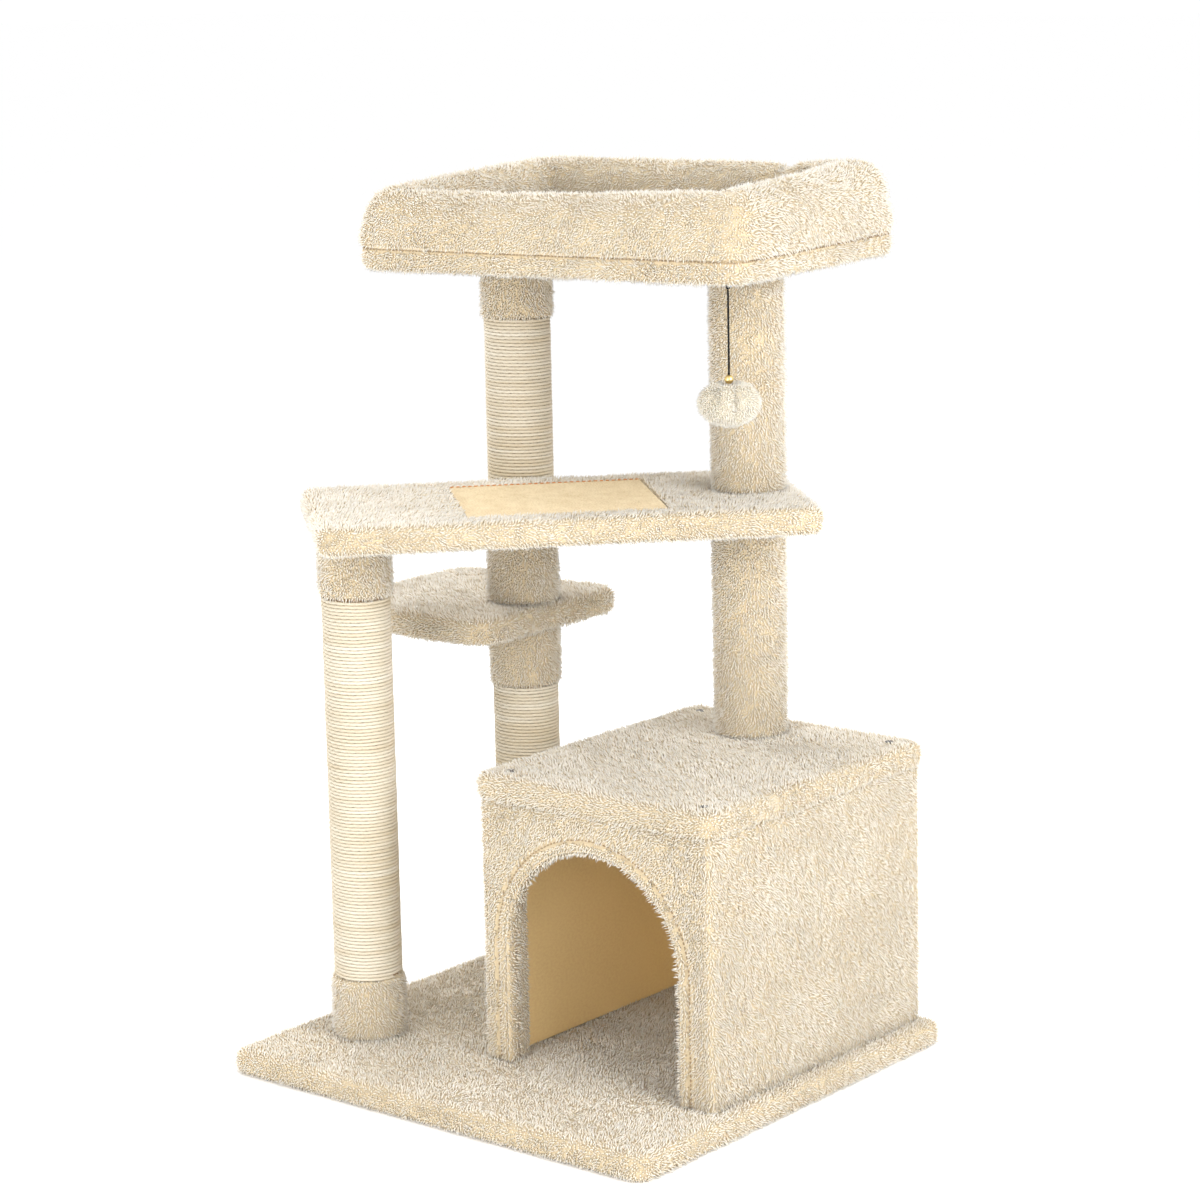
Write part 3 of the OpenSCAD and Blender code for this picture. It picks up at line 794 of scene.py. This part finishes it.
# --- Plush round the front battens ------------------------------------------------------------
# The wall plush carries on inside the doorway's corners, folded round the two front battens.
wrap_pile = 0.0045
wrap_round = 0.003
low, high = [Vector(p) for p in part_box("batten_wraps")]
wrap_w = high.y - low.y
for side, x in (("left", low.x + wrap_w / 2), ("right", high.x - wrap_w / 2)):
    at = (x, low.y + wrap_w / 2)
    rings = [outline(wrap_w - 0.004, wrap_w - 0.002, wrap_round, z, 0.0, at, 0.0, 2, 2)
             for z in (low.z, (low.z + high.z) / 2, high.z)]
    cloth = skin("batten_plush_" + side, rings, [1.0, 1.0], (0.0, 0.0))
    piece = grow("batten_plush_" + side, cloth, cream_plush, nap=(0, 0, -0.7), seed=13, Length=wrap_pile)
    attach(piece, "tree")
    if side == "left":
        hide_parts("batten_wraps")

# --- Plush on the condo's lid -----------------------------------------------------------------
# The lid is a board of its own, wrapped like the base, and screwed down over the walls. The
# plush bulges a little over the walls' edges.
middle, size, low, high = span("condo_lid_cover")
cloth = cover("lid_plush", size[0], size[1], base_corner, low, high - board_rise, middle, below=0.0)
piece = grow("lid_plush", cloth, cream_plush, nap=(-0.3, -0.4, 0), seed=17)
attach(piece, "tree")
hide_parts("condo_lid_cover")

# --- Rope on the scratching posts -------------------------------------------------------------
# Three-strand sisal rope glued to the cardboard tubes, turn against turn, with fibres and the
# odd dark gap. Each length of post is wound on its own.
rope_pitch = 0.0035
rope_r = 0.00205
strand_twist = 0.0085
rope_slack = 0.0011
rope_steps = 96
tube_r = 0.031


def rope_tree():
    """A rope of three strands wound into a close helix round a post."""
    tree, given = new_tree("wound_rope", "Rope",
                           Float="Post radius, Height, Pitch, Rope radius, Twist per point, Slack",
                           Int="Points per turn", Vector="Place", Material="Finish")
    maths, summed, scaled = sums(tree)
    coil_r = maths("ADD", given["Post radius"], given["Rope radius"])
    rounds = maths("DIVIDE", given["Height"], given["Pitch"])
    coil = add(tree, "GeometryNodeCurveSpiral",
               {"Resolution": given["Points per turn"], "Rotations": rounds,
                "Start Radius": coil_r, "End Radius": coil_r, "Height": given["Height"]})
    index = tree.nodes.new("GeometryNodeInputIndex").outputs[0]
    place = tree.nodes.new("GeometryNodeInputPosition").outputs[0]
    slack = add(tree, "ShaderNodeTexNoise", {"Vector": place, "Scale": 55.0, "Detail": 2.0})
    shift = scaled(summed(slack.outputs[1], (-0.5, -0.5, -0.5)), given["Slack"])
    laid = add(tree, "GeometryNodeSetPosition", {"Geometry": coil.outputs[0], "Offset": shift})
    tilted = add(tree, "GeometryNodeSetCurveTilt",
                 {"Curve": laid.outputs[0], "Tilt": maths("MULTIPLY", index, given["Twist per point"])})
    ring = add(tree, "GeometryNodeCurvePrimitiveCircle", {"Resolution": 6, "Radius": 1.0}, mode="RADIUS")
    lobe = maths("ADD", maths("MULTIPLY", maths("MODULO", index, 2.0), 0.36), 0.74)
    lobed = scaled(place, maths("MULTIPLY", lobe, given["Rope radius"]))
    section = add(tree, "GeometryNodeSetPosition", {"Geometry": ring.outputs[0], "Position": lobed})
    body = add(tree, "GeometryNodeCurveToMesh",
               {"Curve": tilted.outputs[0], "Profile Curve": section.outputs[0], "Fill Caps": True})
    put = add(tree, "GeometryNodeTransform", {"Geometry": body.outputs[0], "Translation": given["Place"]})
    hand_over(tree, put.outputs[0], given, "Rope")
    return tree


sisal, tree, shader, spot = start("sisal_rope")
turns = noise(tree, spot, 6.0, 3.0, (1.0, 1.0, 26.0))
hairs = noise(tree, spot, 520.0, 3.0, (1.0, 1.0, 1.8))
patches = noise(tree, spot, 9.0, 2.0)
straw = blend(tree, steepen(tree, turns, 0.30, 0.70), (0.56, 0.475, 0.335, 1), (0.69, 0.64, 0.535, 1))
straw = blend(tree, steepen(tree, hairs, 0.47, 1.2), straw, (0.46, 0.33, 0.17, 1))
straw = blend(tree, steepen(tree, patches, 0.45, 1.2), straw, (0.765, 0.72, 0.625, 1))
tree.links.new(straw, shader.inputs["Base Color"])
roughen(tree, shader, hairs, 0.35, 0.0004)
shader.inputs["Roughness"].default_value = 0.85
shader.inputs["Specular IOR Level"].default_value = 0.3
wound_rope = rope_tree()
step_length = 2 * math.pi * (tube_r + rope_r) / rope_steps
for post in ("front_post", "back_post", "back_top_post"):
    middle, size, low, high = span(post + "_rope")
    values = {"Post radius": tube_r, "Height": high - low - 2 * rope_r, "Pitch": rope_pitch,
              "Rope radius": rope_r, "Twist per point": 2 * math.pi * step_length / strand_twist,
              "Slack": rope_slack, "Points per turn": rope_steps,
              "Place": (middle[0], middle[1], low + rope_r), "Finish": sisal}
    piece = evaluated(new_object(post + "_sisal", bpy.data.meshes.new(post)), wound_rope, values)
    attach(piece, "tree")
    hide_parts(post + "_rope")

# --- Plush collars and sleeves on the posts ---------------------------------------------------
# Plush strips glued round the tubes: a collar at each end of the rope, and a full-length sleeve
# on both lengths of the right post. Each closes in a butted seam at the back.
collar_round = 0.004
round_points = 64


def circle(r, z, at):
    """Points round a circle at a height."""
    angles = [2 * math.pi * i / round_points for i in range(round_points)]
    return [(at[0] + r * math.cos(a), at[1] + r * math.sin(a), z) for a in angles]


def band(node, name, seed, nap):
    """A strip of plush glued round a post, on the faces of a node of the frame."""
    middle, size, low, high = span(node)
    r = size[0] / 2 - pile_rise
    profile = [(r - inset, z) for inset, z in round_up(low, high, collar_round, 3)]
    profile += [(tube_r + 0.0003, high - 0.001), (tube_r + 0.0003, low + 0.001)]
    rings = [circle(reach, z, middle) for reach, z in profile]
    bands = [1.0] * (len(rings) - 3) + [0.0, 0.0]
    cloth = skin(name, rings, bands, (0.0, 0.0), ring_closed=True)
    made = grow(name, cloth, cream_plush, nap=nap, seed=seed)
    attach(made, "tree")
    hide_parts(node)


for number, post in enumerate(("front_post", "back_post", "back_top_post")):
    for end in ("lower", "upper"):
        band(post + "_" + end + "_collar", post + "_" + end + "_cuff", 20 + number, (0, 0, -0.7))
for number, post in enumerate(("right_post", "right_top_post")):
    band(post + "_sleeve", post + "_plush", 30 + number, (0, 0, -0.75))

# --- Plush on the small shelf -----------------------------------------------------------------
# A small square board wrapped in plush, gripped between the two lengths of the back post.
shelf_corner = 0.030
middle, size, low, high = span("shelf_cover")
cloth = cover("shelf_plush", size[0], size[1], shelf_corner, low, high - board_rise, middle)
piece = grow("shelf_plush", cloth, cream_plush, nap=(-0.4, -0.2, 0), seed=41)
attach(piece, "tree")
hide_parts("shelf_cover")

# --- Plush on the plank -----------------------------------------------------------------------
# A long board laid corner to corner over the tree. The plush has a window in its middle, where
# the scratching pad is let in.
plank_l = 0.498
plank_w = 0.260
pad_l = 0.200
pad_w = 0.180
front_at = centre_of("front_post_tube")
right_at = centre_of("right_post_tube")
plank_turn = math.atan2(right_at.y - front_at.y, right_at.x - front_at.x)
middle, size, low, high = span("plank_cover")
window = [(outline(pad_l + 0.004, pad_w + 0.004, 0.003, high - board_rise, 0.0, middle, plank_turn), 1.0),
          (outline(pad_l + 0.002, pad_w + 0.002, 0.003, high - 0.0048, 0.0, middle, plank_turn), 0.0)]
cloth = cover("plank_plush", plank_l, plank_w, base_corner, low, high - board_rise, middle, plank_turn,
              top=window)
piece = grow("plank_plush", cloth, cream_plush, nap=(0.3, 0.35, 0), seed=43)
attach(piece, "tree")
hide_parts("plank_cover")

# --- Scratching pad ---------------------------------------------------------------------------
# A mat of woven sisal let into the plank's plush and glued down: pale weft cords packed over
# the warp, with an orange stitch along its back edge.
weft_pitch = 0.00336
weft_waves = 34.0
pad_base_drop = 0.0028
pad_inset = 0.0015
pad_seam_in = 0.005
pad_seam_short = 0.004
pad_stitch_pitch = 0.006
pad_stitch_r = 0.0006
pad_stitch_up = 0.0002
middle, size, low, high = span("scratching_pad")


def weave_tree():
    """Weft cords laid side by side, each wave half a step on from the last."""
    tree, given = new_tree("woven_mat", "Mat", Float="Length, Width, Pitch, Cord radius, Waves",
                           Material="Finish", Vector="Place, Turn")
    maths, _, _ = sums(tree)
    half = maths("MULTIPLY", given["Length"], 0.5)
    begin = add(tree, "ShaderNodeCombineXYZ", {0: maths("MULTIPLY", half, -1.0)})
    stop = add(tree, "ShaderNodeCombineXYZ", {0: half})
    line = add(tree, "GeometryNodeCurvePrimitiveLine", {"Start": begin.outputs[0], "End": stop.outputs[0]})
    fine = add(tree, "GeometryNodeResampleCurve", {"Curve": line.outputs[0], "Count": 140})
    rows = maths("ROUND", maths("DIVIDE", given["Width"], given["Pitch"]))
    apart = add(tree, "ShaderNodeCombineXYZ", {1: given["Pitch"]})
    column = add(tree, "GeometryNodeMeshLine", {"Count": rows, "Offset": apart.outputs[0]})
    shift = maths("MULTIPLY", maths("SUBTRACT", rows, 1.0), -0.5)
    centred = add(tree, "ShaderNodeCombineXYZ", {1: maths("MULTIPLY", shift, given["Pitch"])})
    dots = add(tree, "GeometryNodeSetPosition",
               {"Geometry": column.outputs[0], "Offset": centred.outputs[0]})
    laid = add(tree, "GeometryNodeInstanceOnPoints",
               {"Points": dots.outputs[0], "Instance": fine.outputs[0]})
    cords = add(tree, "GeometryNodeRealizeInstances", {"Geometry": laid.outputs[0]})
    place = tree.nodes.new("GeometryNodeInputPosition").outputs[0]
    split = add(tree, "ShaderNodeSeparateXYZ", {0: place})
    row = maths("ROUND", maths("DIVIDE", split.outputs[1], given["Pitch"]))
    rate = maths("DIVIDE", maths("MULTIPLY", given["Waves"], 2 * math.pi), given["Length"])
    phase = maths("ADD", maths("MULTIPLY", split.outputs[0], rate), maths("MULTIPLY", row, math.pi))
    wave = maths("MULTIPLY", maths("SINE", phase), maths("MULTIPLY", given["Cord radius"], 0.6))
    slack = add(tree, "ShaderNodeTexNoise", {"Vector": place, "Scale": 120.0, "Detail": 2.0})
    drift = maths("MULTIPLY", maths("SUBTRACT", slack.outputs[0], 0.5), given["Cord radius"])
    moved = add(tree, "ShaderNodeCombineXYZ", {1: drift, 2: maths("ADD", wave, drift)})
    waved = add(tree, "GeometryNodeSetPosition", {"Geometry": cords.outputs[0], "Offset": moved.outputs[0]})
    section = add(tree, "GeometryNodeCurvePrimitiveCircle",
                  {"Resolution": 5, "Radius": given["Cord radius"]}, mode="RADIUS")
    body = add(tree, "GeometryNodeCurveToMesh",
               {"Curve": waved.outputs[0], "Profile Curve": section.outputs[0], "Fill Caps": True})
    put = add(tree, "GeometryNodeTransform",
              {"Geometry": body.outputs[0], "Translation": given["Place"], "Rotation": given["Turn"]})
    hand_over(tree, put.outputs[0], given, "Mat")
    return tree


woven, tree, shader, spot = start("woven_sisal")
hairs = noise(tree, spot, 480.0, 3.0)
lengths = noise(tree, spot, 60.0, 2.0)
mat = blend(tree, steepen(tree, lengths, 0.0, 1.0), (0.60, 0.47, 0.29, 1), (0.80, 0.69, 0.49, 1))
mat = blend(tree, steepen(tree, hairs, 0.47, 1.1), mat, (0.45, 0.32, 0.15, 1))
tree.links.new(mat, shader.inputs["Base Color"])
roughen(tree, shader, hairs, 0.35, 0.0004)
shader.inputs["Roughness"].default_value = 0.85
shader.inputs["Specular IOR Level"].default_value = 0.3
backing = matt("mat_backing", 500.0, 3.0, (0.30, 0.20, 0.10, 1), (0.50, 0.38, 0.21, 1), 0.9,
               bump=(0.4, 0.0004))
cord_r = (high - low - pad_base_drop) / 2 + 0.0006
pad_base = high - pad_base_drop
levels = ((low, 0.0005), (low + 0.0005, 0.0), (pad_base, 0.0), (pad_base, 0.01))
rings = [outline(pad_l, pad_w, 0.003, z, inset, middle, plank_turn) for z, inset in levels]
under = skin("mat_backing", rings, [0.0, 0.0, 0.0], (0.0, 0.0))
under.materials.append(backing)
mat_back = new_object("pad_backing", under)
values = {"Length": pad_l - 2 * pad_inset, "Width": pad_w - 2 * pad_inset, "Pitch": weft_pitch,
          "Cord radius": cord_r * 0.88, "Waves": weft_waves, "Finish": woven,
          "Place": (middle[0], middle[1], high - cord_r * 1.35), "Turn": (0.0, 0.0, plank_turn)}
mat_top = evaluated(new_object("pad_weave", bpy.data.meshes.new("pad_weave")), weave_tree(), values)
for piece in (mat_back, mat_top):
    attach(piece, "tree")
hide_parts("scratching_pad")
orange = matt("orange_thread", 1200.0, 2.0, (0.42, 0.13, 0.02, 1), (0.62, 0.25, 0.05, 1), 0.65)
c, s = math.cos(plank_turn), math.sin(plank_turn)
seam = []
for x in (pad_seam_short - pad_l / 2, pad_l / 2 - pad_seam_short):
    y = pad_w / 2 - pad_seam_in
    seam.append((middle[0] + x * c - y * s, middle[1] + x * s + y * c, high + pad_stitch_up))
piece = sew("pad_stitches", seam, orange, pitch=pad_stitch_pitch, radius=pad_stitch_r)
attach(piece, "tree")

# --- Plush under the perch --------------------------------------------------------------------
# The perch board is wrapped in the same plush. It is bare of pile under the bed and in the crease where the
# padded rim meets it, which is sewn all round; the stitches there also darken the crease as painted shade,
# where the dark line is shadow.
perch_w = 0.446
perch_d = 0.340
perch_corner = 0.022
crease_above = 0.003
crease_below = 0.0075
crease_seam = 0.006
crease_seam_in = 0.0028
crease_stitch_pitch = 0.004
crease_stitch_r = 0.0010


def score(mesh, height):
    """Splits the faces that cross a height, so that the pile can stop there."""
    cut = bmesh.new()
    cut.from_mesh(mesh)
    bmesh.ops.bisect_plane(cut, geom=cut.verts[:] + cut.edges[:] + cut.faces[:],
                           plane_co=(0, 0, height), plane_no=(0, 0, 1))
    cut.to_mesh(mesh)
    cut.free()


def piled(mesh, amount):
    """Marks how much pile each face of a mesh has, from its middle and its normal."""
    mark_pile(mesh, [amount(face.center, face.normal) for face in mesh.polygons])


top_back = centre_of("back_top_post_tube")
top_right = centre_of("right_top_post_tube")
perch_turn = math.atan2(top_right.y - top_back.y, top_right.x - top_back.x)
middle, size, low, high = span("perch_cover")
top_ring = outline(perch_w - 0.02, perch_d - 0.02, perch_corner - 0.008, high - board_rise, 0.0, middle,
                   perch_turn)
cloth = cover("perch_plush", perch_w, perch_d, perch_corner, low, high - board_rise, middle, perch_turn,
              top=[(top_ring, 0.0)])
crease_low, crease_high = high - crease_below, high - crease_above
score(cloth, crease_low)
piled(cloth, lambda at, normal: 1.0 if at[2] < crease_low else 0.0)
piece = grow("perch_plush", cloth, cream_plush, nap=(-0.35, 0.3, 0), seed=47)
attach(piece, "tree")
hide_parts("perch_cover")
# painted shade in part: the crease's tan stitches darken the line where the rim's shadow falls
seam = outline(perch_w, perch_d, perch_corner, high - crease_seam, crease_seam_in, middle, perch_turn)
piece = sew("perch_stitches", seam, thread, closed=True,
            pitch=crease_stitch_pitch, radius=crease_stitch_r)
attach(piece, "tree")

# --- Padded rim of the perch ------------------------------------------------------------------
# A plush roll stuffed with fibre, sewn round the bed and fixed to the board. It sags a little
# in the middle of its long sides, and its cover is folded over at the joint at the back.
rim_wall = 0.056
rim_stations = 132
rim_section = 18
rim_flat_sides = 0.75
rim_flat_top = 0.85
rim_swell = 5.0
rim_cap = 0.010
rim_frames = 20
rim_held = 0.005
rim_sag = 0.005
rim_sag_left = 0.05
rim_tilt = 0.006
rim_tilt_right = 0.003
rim_ripples = ((0.0014, 5, 0.6), (0.0010, 11, 2.0))
fold_at = 0.125
fold_half = 0.007
fold_deep = 0.009
rim_belly = 0.004
rim_sag_half = 0.19
rim_crest = 0.885
rim_crown_corner = 0.036
skirt_swell = 2.2
skirt_out = 0.0075
skirt_drop = 0.0115
rim_voxel = 0.006
rim_seat = 0.0026
rim_low = span("perch_rim")[2] - rim_seat


def rounded_path(w, d, r, steps):
    """Even points round a rectangle with rounded corners, each with its outward direction."""
    straight_w, straight_d = w - 2 * r, d - 2 * r
    arc = math.pi / 2 * r
    parts = [(length, kind) for kind, length in enumerate([straight_d, arc, straight_w, arc] * 2)]
    whole = sum(length for length, _ in parts)
    path = []
    for k in range(steps):
        along = whole * k / steps
        for length, kind in parts:
            if along <= length:
                break
            along -= length
        side, bend = kind // 2, kind % 2
        turn = math.pi / 2 * side
        out = turn + (along / length * math.pi / 2 if bend else 0.0)
        half_out, half_along = (w / 2, d / 2) if side % 2 == 0 else (d / 2, w / 2)
        if bend:
            x = half_out - r + r * math.cos(out - turn)
            y = half_along - r + r * math.sin(out - turn)
        else:
            x, y = half_out, -half_along + r + along
        c, s = math.cos(turn), math.sin(turn)
        path.append((x * c - y * s, x * s + y * c, out))
    return path


def settle(piece, pressure, cap, frames, still, voxel):
    """Stuffing: swells a closed form with a cloth simulation, no point going further than cap."""
    body = bpy.data.objects.new(piece.name + "_form", piece.data.copy())
    bpy.context.collection.objects.link(body)
    remesh = body.modifiers.new("remesh", "REMESH")
    remesh.mode = "VOXEL"
    remesh.voxel_size = voxel
    graph = bpy.context.evaluated_depsgraph_get()
    plain = bpy.data.meshes.new_from_object(body.evaluated_get(graph))
    body.modifiers.clear()
    body.data = plain
    before = np.empty(len(plain.vertices) * 3)
    plain.vertices.foreach_get("co", before)
    before = before.reshape(-1, 3)
    held = body.vertex_groups.new(name="held")
    held.add([i for i, p in enumerate(before) if still(p)], 1.0, "REPLACE")
    cloth = body.modifiers.new("stuffing", "CLOTH")
    cloth.settings.use_pressure = True
    cloth.settings.uniform_pressure_force = pressure
    cloth.settings.vertex_group_mass = "held"
    cloth.settings.mass = 0.3
    cloth.settings.tension_stiffness = 15
    cloth.settings.compression_stiffness = 15
    cloth.settings.effector_weights.gravity = 0
    cloth.collision_settings.use_collision = False
    cloth.point_cache.frame_start = 1
    cloth.point_cache.frame_end = frames
    for step in range(1, frames + 1):
        bpy.context.scene.frame_set(step)
    graph = bpy.context.evaluated_depsgraph_get()
    swollen = bpy.data.meshes.new_from_object(body.evaluated_get(graph))
    body.modifiers.clear()
    after = np.empty(len(swollen.vertices) * 3)
    swollen.vertices.foreach_get("co", after)
    moved = after.reshape(-1, 3) - before
    far = np.linalg.norm(moved, axis=1, keepdims=True)
    moved *= np.minimum(1.0, cap / np.maximum(far, 1e-9))
    plain.vertices.foreach_set("co", (before + moved).ravel())
    bpy.data.meshes.remove(swollen)
    bpy.context.scene.frame_set(1)
    plain.polygons.foreach_set("use_smooth", [True] * len(plain.polygons))
    mesh = body.data
    bpy.data.objects.remove(body)
    return mesh


swell_room = 0.004
rim_w, rim_d = perch_w - 2 * swell_room, perch_d - 2 * swell_room
low_walk = rounded_path(rim_w, rim_d, perch_corner, rim_stations)
high_walk = rounded_path(rim_w, rim_d, rim_crown_corner, rim_stations)
c, s = math.cos(perch_turn), math.sin(perch_turn)
points = []
for k, (near, wide) in enumerate(zip(low_walk, high_walk)):
    out = near[2]
    sag = max(0.0, 1 - ((near[0] + rim_sag_left) / rim_sag_half) ** 2) * max(0.0, -math.sin(out))
    fold = math.exp(-((near[0] - fold_at) / fold_half) ** 2) * max(0.0, math.sin(out))
    crest = rim_crest + rim_tilt * 2 * near[1] / rim_d + rim_tilt_right * 2 * near[0] / rim_w
    crest -= rim_sag * sag + fold_deep * fold
    ripple = sum(high * math.sin(waves * out + shift) for high, waves, shift in rim_ripples)
    for i in range(rim_section):
        a = 2 * math.pi * i / rim_section
        across_wall = math.copysign(abs(math.cos(a)) ** rim_flat_sides, math.cos(a))
        up_wall = math.copysign(abs(math.sin(a)) ** rim_flat_top, math.sin(a))
        upper = 0.5 + 0.5 * up_wall
        x, y, heading = (p + (q - p) * upper for p, q in zip(near, wide))
        skirt = skirt_swell * max(0.0, across_wall) ** 2 * max(0.0, -up_wall)
        belly = rim_belly * max(0.0, across_wall) * (1 - up_wall ** 2)
        reach = rim_wall / 2 * (across_wall - 1) + belly + ripple * upper + skirt_out * skirt
        px, py = x + reach * math.cos(heading), y + reach * math.sin(heading)
        z = rim_low + (crest - rim_low) * upper - skirt_drop * skirt
        points.append((middle[0] + px * c - py * s, middle[1] + px * s + py * c, z))
faces = []
for k in range(rim_stations):
    for i in range(rim_section):
        a, b = k * rim_section, (k + 1) % rim_stations * rim_section
        j = (i + 1) % rim_section
        faces.append((a + i, b + i, b + j, a + j))
form = new_object("perch_roll", make_mesh("perch_roll", points, faces))
ring = settle(form, rim_swell, rim_cap, rim_frames, lambda p: p[2] < rim_low + rim_held, rim_voxel)
bpy.data.objects.remove(form)
score(ring, crease_high)
piled(ring, lambda at, normal: 1.0 if at[2] > crease_high else 0.0)
piece = grow("perch_roll", ring, cream_plush, nap=(0, 0, -0.5), seed=53)
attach(piece, "tree")
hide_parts("perch_rim")

# --- Bed in the perch -------------------------------------------------------------------------
# A loose flat cushion filling the bottom of the perch, crowned in the middle, with a sewn edge.
bed_gap = 0.0005
bed_w = perch_w - 2 * rim_wall - 2 * bed_gap
bed_d = perch_d - 2 * rim_wall - 2 * bed_gap
bed_corner = 0.03
bed_steps = 26
bed_pile = 0.006
bed_swell = 2.0
bed_cap = 0.005
bed_frames = 16
bed_held = 0.004
bed_voxel = 0.006
# how wide the cushion is at each height
crown = ((0.94, 0.0), (1.0, 0.30), (1.0, 0.55), (0.93, 0.80), (0.75, 0.95), (0.4, 1.0), (0.12, 1.0))
middle, size, low, high = span("bed_pad")
rings = []
for share, height in crown:
    inset = (1 - share) * bed_d / 2
    z = low + (high - low - bed_pile) * height
    rings.append(outline(bed_w, bed_d, bed_corner, z, inset, middle, perch_turn, 6, bed_steps))
form = new_object("bed_cushion", skin("bed_cushion", rings, [0.0] * 6, (0.0, 0.0)))
bed = settle(form, bed_swell, bed_cap, bed_frames, lambda p: p[2] < low + bed_held, bed_voxel)
bpy.data.objects.remove(form)
piled(bed, lambda at, normal: 1.0 if normal[2] > -0.3 else 0.0)
piece = grow("bed_cushion", bed, cream_plush, nap=(0.4, -0.2, 0), seed=59)
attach(piece, "tree")
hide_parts("bed_pad")

# --- Plush ball -------------------------------------------------------------------------------
# A plush ball gathered with a thread at its top, where the elastic's bell sits. The gathering
# pulls deep creases down its sides.
ball_low, ball_high = [Vector(p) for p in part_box("toy_pompom")]
ball_at = (ball_low + ball_high) / 2
ball_r = (ball_high - ball_low) / 2
ball_rings = 40
ball_around = 72
ball_hole = 0.04
bell_clear = 0.007
ball_wide = 0.8924
ball_tall = 0.84
ball_drop = 0.06
# each crease's bearing and depth
creases = ((-0.66, 0.42), (2.4, 0.36), (0.9, 0.14), (-1.5, 0.12))
crease_half = 0.11


def dent(distance, width):
    """A smooth dent: 1 in its middle, and next to nothing past twice its width."""
    return math.exp(-(distance / width) ** 2)


points = []
for k in range(ball_rings + 1):
    polar = min(max(math.pi * k / ball_rings, ball_hole), math.pi - ball_hole)
    for i in range(ball_around):
        a = 2 * math.pi * i / ball_around
        crease = sum(deep * dent(math.sin((a - bearing) / 2), crease_half) for bearing, deep in creases)
        crease *= math.sin(polar) ** 0.6 * (0.30 + 0.70 * dent(polar, 1.5))
        gather = 0.09 * math.cos(6 * a + 0.7) * dent(polar, 0.8)
        reach = ball_wide * (1 - crease + gather) * math.sin(polar)
        x = reach * ball_r.x * math.cos(a)
        y = reach * ball_r.y * math.sin(a)
        z = ball_r.z * (ball_tall * (math.cos(polar) - 0.46 * dent(polar, 0.36)) - ball_drop)
        points.append((ball_at.x + x, ball_at.y + y, ball_at.z + z))
faces = [tuple(reversed(face)) for face in tube_faces(ball_rings + 1, ball_around)]
cloth = make_mesh("plush_ball", points, faces)


def ball_pile(at, normal):
    """Thin pile round the bell, and full pile everywhere else."""
    return 1.0 if (Vector(at) - ball_at).xy.length > bell_clear or at[2] < ball_at.z else 0.35


piled(cloth, ball_pile)
# the ball's fur, its roots darker with painted shade between the tufts
ball_fur = plush_material("ball_fur", (0.80, 0.76, 0.68, 1), (0.68, 0.61, 0.48, 1))
ball = grow("plush_ball", cloth, ball_fur, nap=(0, 0, -0.3), seed=61,
            Spacing=0.0015, Length=0.0050, Width=0.0021)
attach(ball, "toy")
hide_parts("toy_pompom")

# --- Bell and loop ----------------------------------------------------------------------------
# A small plated jingle bell between the elastic and the ball, and the elastic's own loop round
# the staple.
brass = plated("gold_plate", 500.0, (0.80, 0.56, 0.20, 1), (0.93, 0.74, 0.36, 1), -0.5, 2.6)
dress(brass, "toy_bell")
dress(elastic, "toy_loop")
